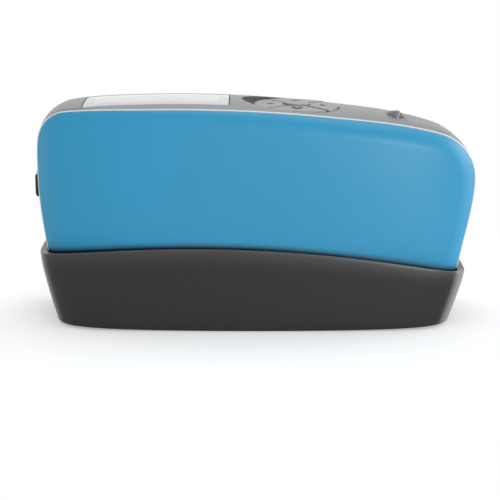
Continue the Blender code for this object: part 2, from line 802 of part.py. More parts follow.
def make_switch(finish):
    """The switch on the board under the button."""
    middle = (BUTTON_LEFT + BUTTON_RIGHT) / 2
    half = SWITCH_SIDE / 2
    top = button_flange_top() - KEY_FLANGE_THICKNESS - BUTTON_TRAVEL - FIT
    step = top - PLUNGER_HEIGHT
    case = box((middle - half, -half, BOARD_TOP + FIT), (middle + half, half, step))
    switch = add_object("trigger_switch", case, finish)
    outline = ((PLUNGER_RADIUS, step - PLUNGER_HEIGHT), (PLUNGER_RADIUS, top))
    combine(switch, add_object("switch_plunger", turned(outline, upright(middle, 0.0))), "UNION")


# Board, port and battery


def make_board(finish, screw_finish):
    low = (BOARD_LEFT, -BOARD_HALF_DEPTH, BOARD_TOP - BOARD_THICKNESS)
    board = add_object("main_board", box(low, (BOARD_RIGHT, BOARD_HALF_DEPTH, BOARD_TOP)), finish)
    head_top = low[2] - FIT
    radius = BOARD_SCREW_RADIUS
    head, edge = BOARD_SCREW_HEAD, BOARD_SCREW_HEAD_EDGE
    hole = ((radius + FIT, low[2] - OVERSHOOT), (radius + FIT, BOARD_TOP + OVERSHOOT))
    screw = (
        (head - edge, head_top - BOARD_SCREW_HEAD_HEIGHT),
        (head, head_top - BOARD_SCREW_HEAD_HEIGHT + edge),
        (head, head_top),
        (radius, head_top),
        (radius, BOARD_TOP + BOARD_SCREW_LENGTH - FIT),
    )
    for number, (x, y) in enumerate(boss_places(), 1):
        cutter = add_object(f"board_hole_{number}", turned(hole, upright(x, y), SMALL_STEPS))
        combine(board, cutter, "DIFFERENCE")
        add_object(f"board_screw_{number}", turned(screw, upright(x, y), SMALL_STEPS), screw_finish)


def stadium(x, half_width, half_height, steps=8):
    """A flat oval ring across the body's length."""
    ring = []
    for side, start in ((1, -90), (-1, 90)):
        for degrees in spaced(start, start + 180, steps):
            angle = math.radians(degrees)
            y = side * (half_width - half_height) + half_height * math.cos(angle)
            ring.append((x, y, PORT_HEIGHT + half_height * math.sin(angle)))
    return ring


def make_socket(finish):
    """The socket shell with its tongue, just inside the port's slot."""
    mouth = port_floor() + FIT
    back = mouth + SOCKET_LENGTH
    outer = (SOCKET_HALF_WIDTH, SOCKET_HALF_HEIGHT)
    inner = (SOCKET_HALF_WIDTH - SOCKET_WALL, SOCKET_HALF_HEIGHT - SOCKET_WALL)
    tongue = (TONGUE_HALF_WIDTH, TONGUE_HALF_HEIGHT)
    rings = [
        stadium(back, *outer),
        stadium(mouth, *outer),
        stadium(mouth, *inner),
        stadium(back - SOCKET_BACK, *inner),
        stadium(back - SOCKET_BACK, *tongue),
        stadium(mouth + TONGUE_SETBACK, *tongue),
    ]
    return add_object("usb_socket", loft(rings), finish)


def make_port_cover(finish):
    """A small door in the left end. It swings about a line along its top edge."""
    half = PORT_COVER_THICKNESS / 2
    middle = port_floor() - half
    hinge = PORT_HEIGHT + PORT_HALF_HEIGHT - half
    foot = PORT_HEIGHT - PORT_HALF_HEIGHT
    section = []
    for degrees in spaced(0, 180, 8):
        angle = math.radians(degrees)
        section.append((middle + half * math.cos(angle), hinge + half * math.sin(angle)))
    section += [(middle - half, foot + half), (middle - half / 2, foot), (middle + half, foot)]
    rings = []
    for side, setback in ((-1, 0.0), (-1, PORT_COVER_EDGE), (1, PORT_COVER_EDGE), (1, 0.0)):
        shrink = 1.0 if setback else 1.0 - PORT_COVER_EDGE / half
        y = side * (PORT_HALF_WIDTH - setback)
        rings.append([(middle + (x - middle) * shrink, y, z) for x, z in section])
    return add_object("port_cover", loft(rings), finish, (middle, 0.0, hinge))


def make_battery(finish, clip_finish):
    along = Matrix.Translation((0.0, 0.0, BATTERY_HEIGHT)) @ Matrix.Rotation(math.pi / 2, 4, "Y")
    half, radius = BATTERY_HALF_LENGTH, BATTERY_RADIUS
    shoulder = half - TERMINAL_LENGTH
    outline = (
        (radius - BATTERY_EDGE, -half),
        (radius, -half + BATTERY_EDGE),
        (radius, shoulder - BATTERY_EDGE),
        (radius - BATTERY_EDGE, shoulder),
        (TERMINAL_RADIUS, shoulder),
        (TERMINAL_RADIUS, half),
    )
    add_object("battery", turned(outline, along), finish)
    inside = BATTERY_RADIUS + FIT
    outside = inside + CLIP_THICKNESS
    top = CLIP_BOTTOM + CLIP_ARM
    floor = CLIP_BOTTOM + CLIP_THICKNESS
    right = [(outside, CLIP_BOTTOM), (outside, top), (inside, top), (inside, floor)]
    section = right + [(-y, z) for y, z in reversed(right)]
    rings = [[(x, y, z) for y, z in section] for x in (-CLIP_HALF_LENGTH, CLIP_HALF_LENGTH)]
    add_object("battery_clip", loft(rings), clip_finish)


# Sole and optics


def make_sole(finish, screw_finish):
    low = (-SOLE_PLATE_HALF_LENGTH, -SOLE_PLATE_HALF_DEPTH, SOLE_HEIGHT)
    plate = add_object("sole_plate", box(low, (-low[0], -low[1], SOLE_PLATE_TOP)), finish)
    low = (-APERTURE_HALF_LENGTH, -APERTURE_HALF_DEPTH, SOLE_HEIGHT - OVERSHOOT)
    aperture = box(low, (-low[0], -low[1], SOLE_PLATE_TOP + OVERSHOOT))
    combine(plate, add_object("aperture", aperture), "DIFFERENCE")
    head, shank = SOLE_SCREW_HEAD, SOLE_SCREW_RADIUS
    sink = head - shank
    cone = (
        (head + FIT, SOLE_HEIGHT - OVERSHOOT),
        (head + FIT, SOLE_HEIGHT),
        (shank + FIT, SOLE_HEIGHT + sink),
        (shank + FIT, SOLE_PLATE_TOP + OVERSHOOT),
    )
    screw = (
        (head, SOLE_HEIGHT),
        (shank, SOLE_HEIGHT + sink),
        (shank, SOLE_HEIGHT + SOLE_SCREW_LENGTH),
    )
    for number, (x, y) in enumerate(sole_screw_places(), 1):
        sink_hole = turned(cone, upright(x, y), SMALL_STEPS)
        combine(plate, add_object(f"sole_sink_{number}", sink_hole), "DIFFERENCE")
        add_object(f"sole_screw_{number}", turned(screw, upright(x, y), SMALL_STEPS), screw_finish)


def beam(side):
    """Places Z along one of the two beams, away from the point on the tile where they meet."""
    turn = Matrix.Rotation(side * math.radians(MEASURING_ANGLE), 4, "Y")
    return Matrix.Translation((0.0, 0.0, TILE_TOP)) @ turn


def make_optics_block(finish):
    low = (-SOLE_OPENING_HALF_LENGTH, -SOLE_OPENING_HALF_DEPTH, OPTICS_BOTTOM)
    high = (-low[0], -low[1], OPTICS_BOTTOM + OPTICS_BASE_HEIGHT)
    block = add_object("optics_block", box(low, high), finish)
    half = SOLE_OPENING_HALF_LENGTH / 2
    web_low = (-half, -WEB_HALF_THICKNESS, OPTICS_BOTTOM + FIT)
    combine(block, add_object("web", box(web_low, (half, WEB_HALF_THICKNESS, WEB_HEIGHT))), "UNION")
    for side in (-1, 1):
        tube = turned(((TUBE_RADIUS, TUBE_START), (TUBE_RADIUS, TUBE_LENGTH)), beam(side))
        combine(block, add_object(f"tube_{side}", tube), "UNION")
    for side in (-1, 1):
        bore = (
            (THROAT_RADIUS, -OVERSHOOT),
            (THROAT_RADIUS, LENS_SEAT),
            (BORE_RADIUS, LENS_SEAT),
            (BORE_RADIUS, TUBE_LENGTH + OVERSHOOT),
        )
        combine(block, add_object(f"bore_{side}", turned(bore, beam(side))), "DIFFERENCE")
    well_low = (-APERTURE_HALF_LENGTH, -APERTURE_HALF_DEPTH, OPTICS_BOTTOM - OVERSHOOT)
    well = box(well_low, (-well_low[0], -well_low[1], OPTICS_BOTTOM + WELL_DEPTH))
    combine(block, add_object("light_well", well), "DIFFERENCE")


def make_lens(name, side, finish):
    """A lens with one flat and one round face, on its seat in the tube."""
    radius = BORE_RADIUS - FIT
    seat = LENS_SEAT + FIT
    outline = [(radius / 3, seat), (radius, seat)]
    for share in (1.0, 0.85, 0.65, 0.4, 0.15):
        outline.append((radius * share, seat + LENS_EDGE + LENS_BULGE * (1 - share * share)))
    return add_object(name, turned(outline, beam(side)), finish)


def end_piece(name, side, plug_length, tip_radius, finish):
    """The piece that closes a tube: a flange on its end, a plug in its bore and a round tip on the plug."""
    radius = BORE_RADIUS - FIT
    flange = TUBE_LENGTH + FIT
    plug = flange - plug_length
    outline = []
    for degrees in (80, 50, 25, 0):
        angle = math.radians(degrees)
        outline.append((tip_radius * math.cos(angle), plug - tip_radius * math.sin(angle)))
    outline += [(radius, plug), (radius, flange), (END_FLANGE_RADIUS, flange)]
    outline += [(END_FLANGE_RADIUS, flange + END_FLANGE_THICKNESS)]
    return add_object(name, turned(outline, beam(side)), finish)


# Holder


def rim_height(x):
    away = x - RIM_APEX_X
    return RIM_APEX_HEIGHT - RIM_RADIUS + math.sqrt(RIM_RADIUS**2 - away**2)


def holder_reach(side, z):
    """Half length of the holder at a height, on its left or right. It stands clear of the body's low end."""
    low, gap, flare = -LOW_LEFT, HOLDER_LEFT_GAP, HOLDER_LEFT_FLARE
    if side > 0:
        low, gap, flare = LOW_RIGHT, HOLDER_RIGHT_GAP, HOLDER_RIGHT_FLARE
    slope, curl = flare
    return low + HOLDER_WALL + gap + slope * (z - LOW_HEIGHT) - curl * (z * z - LOW_HEIGHT**2)


def holder_depth(z):
    """Half depth of the holder at a height."""
    at_rim = FACE_DEPTH + HOLDER_WALL + HOLDER_SIDE_GAP
    return at_rim - HOLDER_DEPTH_FLARE * (RIM_APEX_HEIGHT - z)


def holder_ring(inset, height):
    """A ring of the holder. Its height is a function of the height of the rim above it."""
    ring = []
    for i in range(HOLDER_STEPS):
        angle = math.tau * i / HOLDER_STEPS
        across, along = math.sin(angle), math.cos(angle)
        side = -1 if along < 0 else 1
        share = abs(along) ** (2 / HOLDER_POWER)
        x = side * share * holder_reach(side, HOLDER_FLOOR)
        z = height(rim_height(x))
        x = side * share * (holder_reach(side, z) - inset)
        depth = holder_depth(z) - inset
        y = math.copysign(abs(across) ** (2 / HOLDER_POWER), across) * depth
        ring.append((x, y, z))
    return ring


def make_holder(finish):
    bottom, edge, wall = HOLDER_BOTTOM, HOLDER_EDGE, HOLDER_WALL

    def part_way(share):
        return lambda rim: bottom + edge + (rim - RIM_EDGE - bottom - edge) * share

    rings = [
        holder_ring(edge, lambda rim: bottom),
        holder_ring(edge * 0.3, lambda rim: bottom + edge * 0.3),
        holder_ring(0.0, part_way(0.0)),
        holder_ring(0.0, part_way(0.33)),
        holder_ring(0.0, part_way(0.67)),
        holder_ring(0.0, part_way(1.0)),
        holder_ring(RIM_EDGE, lambda rim: rim),
        holder_ring(wall - RIM_EDGE, lambda rim: rim),
        holder_ring(wall, part_way(1.0)),
        holder_ring(wall, part_way(0.5)),
        holder_ring(wall, lambda rim: HOLDER_FLOOR + edge),
        holder_ring(wall + edge * 0.3, lambda rim: HOLDER_FLOOR + edge * 0.3),
        holder_ring(wall + edge, lambda rim: HOLDER_FLOOR),
    ]
    holder = add_object("holder_body", loft(rings), finish)
    add_holder_floor(holder)
    seat = ((FOOT_RADIUS + FIT, HOLDER_BOTTOM - OVERSHOOT), (FOOT_RADIUS + FIT, FOOT_THICKNESS + FIT))
    for number, (x, y) in enumerate(foot_places(), 1):
        combine(holder, add_object(f"foot_seat_{number}", turned(seat, upright(x, y))), "DIFFERENCE")
    return holder


def add_holder_floor(holder):
    """The two ledges that the body stands on, and the well that the tile lies in."""
    root = (HOLDER_BOTTOM + HOLDER_FLOOR) / 2
    half = LEDGE_THICKNESS / 2
    for side in (-1, 1):
        low = (side * LEDGE_X - half, -LEDGE_HALF_DEPTH, root)
        high = (side * LEDGE_X + half, LEDGE_HALF_DEPTH, SOLE_HEIGHT - FIT)
        combine(holder, add_object(f"ledge_{side}", box(low, high)), "UNION")
    length, depth = TILE_HALF_LENGTH + FIT, TILE_HALF_DEPTH + FIT
    low = (-length - WELL_WALL, -depth - WELL_WALL, root)
    outer = box(low, (-low[0], -low[1], TILE_TOP))
    combine(holder, add_object("tile_well", outer), "UNION")
    inner = box((-length, -depth, HOLDER_FLOOR), (length, depth, TILE_TOP + OVERSHOOT))
    combine(holder, add_object("tile_space", inner), "DIFFERENCE")


def foot_places():
    right = holder_reach(1, HOLDER_BOTTOM) - FOOT_INSET_X
    rear = holder_depth(HOLDER_BOTTOM) - FOOT_INSET_Y
    return [(x, y) for x in (-right, right) for y in (-rear, rear)]


def make_feet(finish):
    outline = ((FOOT_RADIUS - FOOT_EDGE, 0.0), (FOOT_RADIUS, FOOT_EDGE), (FOOT_RADIUS, FOOT_THICKNESS))
    for number, (x, y) in enumerate(foot_places(), 1):
        add_object(f"foot_{number}", turned(outline, upright(x, y)), finish)


def make_tile(tile_finish, pad_finish, retainer_finish):
    length, depth = TILE_HALF_LENGTH, TILE_HALF_DEPTH
    pad = box((-length, -depth, PAD_BOTTOM), (length, depth, PAD_BOTTOM + TILE_PAD_THICKNESS))
    add_object("tile_pad", pad, pad_finish)
    tile = box((-length, -depth, TILE_BOTTOM), (length, depth, TILE_TOP))
    add_object("calibration_tile", tile, tile_finish)
    reach = FIT + WELL_WALL + FIT + RETAINER_WALL
    low = (-length - reach, -depth - reach, RETAINER_TOP - RETAINER_SKIRT)
    retainer = add_object("tile_retainer", box(low, (-low[0], -low[1], RETAINER_TOP)), retainer_finish)
    reach -= RETAINER_WALL
    low = (-length - reach, -depth - reach, RETAINER_TOP - RETAINER_SKIRT - OVERSHOOT)
    hollow = box(low, (-low[0], -low[1], TILE_TOP + FIT))
    combine(retainer, add_object("retainer_hollow", hollow), "DIFFERENCE")
    low = (-length + RETAINER_COVER, -depth + RETAINER_COVER, TILE_TOP)
    view = box(low, (-low[0], -low[1], RETAINER_TOP + OVERSHOOT))
    combine(retainer, add_object("retainer_view", view), "DIFFERENCE")


def main():
    for old in list(bpy.data.objects):
        bpy.data.objects.remove(old)
    blue = material("blue_gloss_plastic", srgb(72, 150, 190), 0.22)
    grey = material("grey_satin_plastic", srgb(165, 166, 167), 0.42)
    key_grey = material("key_plastic", srgb(160, 161, 162), 0.45)
    white = material("white_trim", srgb(222, 224, 225), 0.4)
    pale = material("display_cover", srgb(226, 228, 229), 0.15)
    dark = material("holder_plastic", srgb(62, 62, 63), 0.4)
    rubber = material("black_rubber", srgb(44, 44, 45), 0.7)
    steel = material("steel", srgb(170, 172, 175), 0.3, 1.0)
    casting = material("black_casting", srgb(40, 41, 43), 0.55, 0.6)
    board = material("green_board", srgb(30, 92, 58), 0.5)
    glass = material("clear_glass", srgb(222, 236, 232), 0.05)
    black_glass = material("black_glass", srgb(14, 14, 16), 0.03)
    sleeve = material("battery_sleeve", srgb(64, 98, 126), 0.3)
    make_frame(grey)
    for name, side in (("front", -1), ("rear", 1)):
        make_cover(f"{name}_cover", side, blue)
        make_trim(f"{name}_trim", side, white)
    make_window(pale)
    make_display(rubber, black_glass, white)
    for name, degrees in (("key_right", 0), ("key_up", 90), ("key_left", 180), ("key_down", 270)):
        make_sector_key(name, degrees, key_grey)
    make_centre_key(key_grey)
    make_key_mat(rubber)
    make_button(grey)
    make_switch(rubber)
    make_board(board, steel)
    make_socket(steel)
    make_port_cover(rubber)
    make_battery(sleeve, steel)
    make_sole(casting, steel)
    make_optics_block(casting)
    for name, side in (("source_lens", -1), ("receiver_lens", 1)):
        make_lens(name, side, glass)
    end_piece("source_led", -1, LED_PLUG_LENGTH, LED_TIP_RADIUS, pale)
    end_piece("receiver_sensor", 1, SENSOR_PLUG_LENGTH, SENSOR_TIP_RADIUS, rubber)
    make_holder(dark)
    make_feet(rubber)
    make_tile(black_glass, rubber, dark)


main()
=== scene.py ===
# %% [markdown]
# # A gloss meter in its calibration holder
#
# The instrument measures how shiny a painted or lacquered surface is. Its body is a grey band that
# runs round the side profile, with a domed blue shell on each side and a thin white trim between.
# It stands in a dark holder with a black glass tile in its floor. The solids come from the packed
# model, in metres with Z up. This script gives them their fine surfaces, finishes and light.

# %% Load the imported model
import math

import bmesh
import bpy
from mathutils import Matrix, Vector
from mathutils.bvhtree import BVHTree


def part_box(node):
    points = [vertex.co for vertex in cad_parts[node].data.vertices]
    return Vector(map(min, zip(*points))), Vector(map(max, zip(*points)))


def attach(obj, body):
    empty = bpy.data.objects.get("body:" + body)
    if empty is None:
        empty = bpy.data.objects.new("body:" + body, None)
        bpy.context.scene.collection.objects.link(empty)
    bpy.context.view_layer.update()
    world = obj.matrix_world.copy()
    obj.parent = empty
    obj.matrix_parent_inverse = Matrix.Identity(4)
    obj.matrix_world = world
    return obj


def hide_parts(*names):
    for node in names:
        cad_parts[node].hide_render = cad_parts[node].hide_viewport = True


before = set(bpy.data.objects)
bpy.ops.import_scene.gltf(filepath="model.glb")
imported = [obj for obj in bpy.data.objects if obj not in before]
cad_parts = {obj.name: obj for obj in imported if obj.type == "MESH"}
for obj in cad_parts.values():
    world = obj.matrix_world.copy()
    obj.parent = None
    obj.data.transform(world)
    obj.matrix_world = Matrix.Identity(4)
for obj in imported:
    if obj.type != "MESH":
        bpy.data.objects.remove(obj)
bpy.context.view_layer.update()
print("solids:", len(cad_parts))

# %% [markdown]
# ## Camera
#
# The instrument is seen from a little above its long side. A long lens from about half a metre
# keeps the top and the bottom nearly parallel, which is how a product is usually shown. The
# camera looks at a point in the middle of the body, so no lens shift is needed.

# %% Camera
CAMERA_DISTANCE = 0.550
CAMERA_HEIGHT_ANGLE = 13.9
CAMERA_TARGET = Vector((-0.0022, 0.0, 0.0230))
CAMERA_LENS, CAMERA_SENSOR = 108.9, 36.0


def add_object(name, data):
    """A new object with this data, in the scene."""
    made = bpy.data.objects.new(name, data)
    bpy.context.scene.collection.objects.link(made)
    return made


def make_camera():
    raised = math.radians(CAMERA_HEIGHT_ANGLE)
    away = Vector((0.0, -math.cos(raised), math.sin(raised)))
    camera = add_object("camera", bpy.data.cameras.new("camera"))
    camera.location = CAMERA_TARGET + CAMERA_DISTANCE * away
    camera.rotation_euler = (math.pi / 2 - raised, 0.0, 0.0)
    camera.data.lens, camera.data.sensor_width = CAMERA_LENS, CAMERA_SENSOR
    bpy.context.scene.camera = camera
    return camera


print("camera at", [round(value, 4) for value in make_camera().location])

# %% [markdown]
# ## Node trees
#
# The backdrop, the finishes and some of the shapes are node trees, and all of them are built here
# in script. One helper adds a node with its settings and its inputs. A small class lets a rule be
# written as a formula, each step of which becomes one math node.

# %% Node helpers
def set_inputs(tree, node, inputs):
    """Sets inputs by name or number. A formula, a node or a socket is linked, any other value is set."""
    for name, value in inputs.items():
        if isinstance(value, Formula):
            value = value.socket
        elif isinstance(value, bpy.types.Node):
            value = value.outputs[0]
        if isinstance(value, bpy.types.NodeSocket):
            tree.links.new(value, node.inputs[name])
        else:
            node.inputs[name].default_value = value


def add_node(tree, kind, inputs=None, **settings):
    node = tree.nodes.new(kind)
    for name, value in settings.items():
        setattr(node, name, value)
    set_inputs(tree, node, inputs or {})
    return node


class Formula:
    """A value in a node tree that can be added, multiplied and raised as a number is."""

    def __init__(self, tree, socket):
        self.tree, self.socket = tree, socket

    def node(self, operation, *values):
        made = add_node(self.tree, "ShaderNodeMath", dict(enumerate(values)), operation=operation)
        return Formula(self.tree, made.outputs[0])

    def __add__(self, other):
        return self.node("ADD", self, other)

    def __sub__(self, other):
        return self.node("SUBTRACT", self, other)

    def __rsub__(self, other):
        return self.node("SUBTRACT", other, self)

    def __mul__(self, other):
        return self.node("MULTIPLY", self, other)

    def __truediv__(self, other):
        return self.node("DIVIDE", self, other)

    def __rtruediv__(self, other):
        return self.node("DIVIDE", other, self)

    def __pow__(self, other):
        return self.node("POWER", self, other)

    def root(self):
        return self.node("SQRT", self)

    def size(self):
        return self.node("ABSOLUTE", self)

    def sign(self):
        return self.node("SIGN", self)

    def above(self, limit):
        return self.node("GREATER_THAN", self, limit)

    def at_most(self, limit):
        return self.node("MINIMUM", self, limit)

    def at_least(self, limit):
        return self.node("MAXIMUM", self, limit)


# %% [markdown]
# ## Light and backdrop
#
# Small plastic instruments are lit softly: a large panel over them, a wide low one in front to
# the right, and one behind each end that draws a soft bright line down the dark holder's corners.
# Each panel's power is worked out from the level that it adds to a surface that faces it. No
# surface faces all of them, so a colour comes out about as it was written. The world is plain
# white wherever the camera or a reflection sees it, and weaker where it only adds light.

# %% Light
WORLD_LEVEL = 0.42
WHITE = (1.0, 1.0, 1.0, 1.0)
PANEL_TARGET = Vector((0.0, 0.0, 0.04))
PANELS = (
    ("panel_above", (0.05, 0.12, 0.95), 0.80, 0.80, 0.30),
    ("panel_front_right", (1.05, -2.20, 0.30), 1.10, 0.55, 0.40),
    ("panel_left", (-0.95, 0.50, 0.32), 0.60, 0.60, 0.20),
    ("panel_right", (1.00, 0.30, 0.32), 0.90, 0.60, 0.40),
)


def seen_directly(tree):
    """1 for a ray of the camera, of a reflection or through glass, 0 for the rays that carry light."""
    path = add_node(tree, "ShaderNodeLightPath")
    rays = ("Is Camera Ray", "Is Glossy Ray", "Is Transmission Ray")
    camera, gloss, glass = (Formula(tree, path.outputs[ray]) for ray in rays)
    return (camera + gloss + glass).at_most(1.0)


def make_panel(name, place, width, height, level):
    """A light panel that adds this level to a surface at the origin that faces it."""
    lamp = bpy.data.lights.new(name, "AREA")
    lamp.shape, lamp.size, lamp.size_y = "RECTANGLE", width, height
    lamp.energy = level * math.pi**2 * Vector(place).length_squared
    panel = add_object(name, lamp)
    panel.location = place
    panel.rotation_euler = (PANEL_TARGET - Vector(place)).to_track_quat("-Z", "Y").to_euler()


def make_world():
    world = bpy.data.worlds.new("studio")
    world.use_nodes = True
    tree = world.node_tree
    tree.nodes.clear()
    light = add_node(tree, "ShaderNodeBackground", {"Color": WHITE, "Strength": WORLD_LEVEL})
    white = add_node(tree, "ShaderNodeBackground", {"Color": WHITE})
    mix = add_node(tree, "ShaderNodeMixShader", {0: seen_directly(tree), 1: light, 2: white})
    add_node(tree, "ShaderNodeOutputWorld", {"Surface": mix})
    bpy.context.scene.world = world


for panel in PANELS:
    make_panel(*panel)
make_world()
bpy.context.scene.view_settings.view_transform = "Standard"
print("panels:", len(PANELS), "world level:", WORLD_LEVEL)

# %% [markdown]
# ## Floor
#
# The floor is pale and matt, and keeps the soft shadow under the feet. To the camera it fades
# into the white backdrop a hand's width away from the holder, so no horizon shows. The fade is a
# function of the distance from the middle of the floor.

# %% Floor
FLOOR_SIDE = 6.0
FLOOR_COLOUR, FLOOR_LIFT = 0.86, 0.35
FLOOR_FADE_START, FLOOR_FADE_END = 0.07, 0.17


def floor_finish():
    finish = bpy.data.materials.new("pale_floor")
    finish.use_nodes = True
    tree = finish.node_tree
    tree.nodes.clear()
    matt = add_node(tree, "ShaderNodeBsdfDiffuse", {"Color": (FLOOR_COLOUR,) * 3 + (1.0,)})
    lift = add_node(tree, "ShaderNodeEmission", {"Strength": FLOOR_LIFT})
    white = add_node(tree, "ShaderNodeEmission", {"Strength": 1.0})
    lifted = add_node(tree, "ShaderNodeAddShader", {0: matt, 1: lift})
    place = add_node(tree, "ShaderNodeTexCoord").outputs["Object"]
    distance = add_node(tree, "ShaderNodeVectorMath", {0: place}, operation="LENGTH").outputs["Value"]
    ends = {"Value": distance, "From Min": FLOOR_FADE_START, "From Max": FLOOR_FADE_END}
    fade = add_node(tree, "ShaderNodeMapRange", ends, interpolation_type="SMOOTHSTEP")
    shown = add_node(tree, "ShaderNodeMixShader", {0: fade, 1: lifted, 2: white})
    seen = add_node(tree, "ShaderNodeMixShader", {0: seen_directly(tree), 1: matt, 2: shown})
    add_node(tree, "ShaderNodeOutputMaterial", {"Surface": seen})
    return finish


def make_floor():
    mesh = bpy.data.meshes.new("floor")
    half = FLOOR_SIDE / 2
    corners = [(-half, -half, 0.0), (half, -half, 0.0), (half, half, 0.0), (-half, half, 0.0)]
    mesh.from_pydata(corners, [], [(0, 1, 2, 3)])
    mesh.materials.append(floor_finish())
    add_object("floor", mesh)


make_floor()
print("floor:", FLOOR_SIDE, "m square")

# %% [markdown]
# ## Effects that several finishes share
#
# Moulded plastic is never one flat colour. It has a fine grain from the mould, slow drifts in colour
# and gloss, and edges that rubbing has turned another shade. The same edge effect also carries painted
# shade and painted highlights: dark lines at the band's seams and round the keys, the button's darker
# faces, and a paler rim and paler upright corners on the holder. Dust settles on top, and a painted
# shadow darkens the body where it goes down into the holder. Each effect is a node group with named
# inputs, made once and placed in each material with its own values. The groups put out values only,
# and the shader itself stays in the material.

# %% Shared effects
RIM_APEX, RIM_HEIGHT, RIM_RADIUS = -0.0200, 0.0296, 0.3950


def make_group(name, inputs, output, rule):
    """A shader group with named inputs. The rule makes the output of the tree and its inputs."""
    group = bpy.data.node_groups.new(name, "ShaderNodeTree")
    for socket_name, default in inputs.items():
        socket = group.interface.new_socket(socket_name, in_out="INPUT", socket_type="NodeSocketFloat")
        socket.default_value = default
    group.interface.new_socket(output, in_out="OUTPUT", socket_type="NodeSocketFloat")
    given = add_node(group, "NodeGroupInput")
    result = rule(group, *(Formula(group, given.outputs[socket_name]) for socket_name in inputs))
    add_node(group, "NodeGroupOutput", {output: result})
    return group


def noise(tree, scale, detail):
    place = add_node(tree, "ShaderNodeTexCoord").outputs["Object"]
    made = add_node(tree, "ShaderNodeTexNoise", {"Vector": place, "Scale": scale, "Detail": detail})
    return Formula(tree, made.outputs["Fac"])


def grain_height(tree, scale, depth):
    """Height of the mould's grain, from two noises of different size."""
    return (noise(tree, scale, 2.0) + noise(tree, scale * 0.35, 1.0) * 0.6) * depth


def slow_drift(tree, scale, marks):
    """A slow change over the surface, from 0 to 1, with a few finger marks in it."""
    return noise(tree, scale, 1.0) + (noise(tree, scale * 7.0, 4.0) - 0.5) * marks


def edge_wear_and_shade(tree, amount, scale):
    """How much an edge turns to its other colour, from the edge value on the piece's points.
    On some pieces that is rubbing, on others painted shade and painted highlights.
    """
    edge = Formula(tree, add_node(tree, "ShaderNodeAttribute", attribute_name="edge").outputs["Fac"])
    return edge * (noise(tree, scale, 3.0) * 1.6) * amount


def settled_dust(tree, amount, scale):
    """Dust that settles on what faces up."""
    normal = add_node(tree, "ShaderNodeNewGeometry").outputs["Normal"]
    upward = Formula(tree, add_node(tree, "ShaderNodeSeparateXYZ", {0: normal}).outputs["Z"]).at_least(0.0)
    return upward * noise(tree, scale, 4.0) ** 3.0 * amount


def rim_shade(tree, reach):
    """Shadow towards the holder's rim, an arc: 1 at the rim and under it, 0 a reach above it."""
    place = add_node(tree, "ShaderNodeTexCoord").outputs["Object"]
    parts = add_node(tree, "ShaderNodeSeparateXYZ", {0: place})
    away = Formula(tree, parts.outputs["X"]) - RIM_APEX
    above = Formula(tree, parts.outputs["Z"]) - RIM_HEIGHT + away * away / (2 * RIM_RADIUS)
    return (1.0 - above / reach).at_most(1.0).at_least(0.0) ** 2.0


GRAIN = make_group("Moulded grain", {"Scale": 2500.0, "Depth": 1.0}, "Height", grain_height)
DRIFT = make_group("Slow drift", {"Scale": 22.0, "Marks": 0.3}, "Drift", slow_drift)
# The edge group is rubbing on some pieces, and painted shade and painted highlights on others.
EDGE_WEAR_AND_SHADE = make_group("Rubbed edge and painted shade", {"Amount": 0.5, "Scale": 300.0}, "Wear and painted shade", edge_wear_and_shade)
DUST = make_group("Settled dust", {"Amount": 0.2, "Scale": 900.0}, "Dust", settled_dust)
RIM = make_group("Rim shade", {"Reach": 0.0026}, "Shade", rim_shade)
print("shared effects:", ", ".join(group.name for group in (GRAIN, DRIFT, EDGE_WEAR_AND_SHADE, DUST, RIM)))

# %% [markdown]
# ## Finishes
#
# One function makes the moulded finishes, because they differ only in their values: colour,
# gloss, grain, how much the colour drifts, and how rubbed the edges are. A colour is written as it
# looks on a screen, from 0 to 255, and turned into the linear value that the shader works with.

# %% Finish maker
PALER = 0.45
DUST_COLOUR = (190, 188, 184)
BUMP_DISTANCE = 0.00003


def linear(value):
    share = value / 255
    return share / 12.92 if share <= 0.04045 else ((share + 0.055) / 1.055) ** 2.4


def shade(colour, factor=1.0):
    return tuple(min(1.0, linear(value) * factor) for value in colour) + (1.0,)


def place_group(tree, group, **values):
    """Places a shared effect in a material, with its own values."""
    return add_node(tree, "ShaderNodeGroup", values, node_tree=group).outputs[0]


def mixed(tree, share, first, second):
    """A colour mix. Each colour is a socket or a colour."""
    colours = {"Factor": share, 6: first, 7: second}
    return add_node(tree, "ShaderNodeMix", colours, data_type="RGBA").outputs[2]


def ranged(tree, value, low, high, start=0.3, end=0.7):
    ends = {"Value": value, "From Min": start, "From Max": end, "To Min": low, "To Max": high}
    return add_node(tree, "ShaderNodeMapRange", ends).outputs[0]


def bump_from(tree, height, strength):
    inputs = {"Strength": strength, "Distance": BUMP_DISTANCE, "Height": height}
    return add_node(tree, "ShaderNodeBump", inputs).outputs["Normal"]


def start_finish(name):
    finish = bpy.data.materials.new(name)
    finish.use_nodes = True
    return finish, finish.node_tree, finish.node_tree.nodes["Principled BSDF"]


MOULDED = []


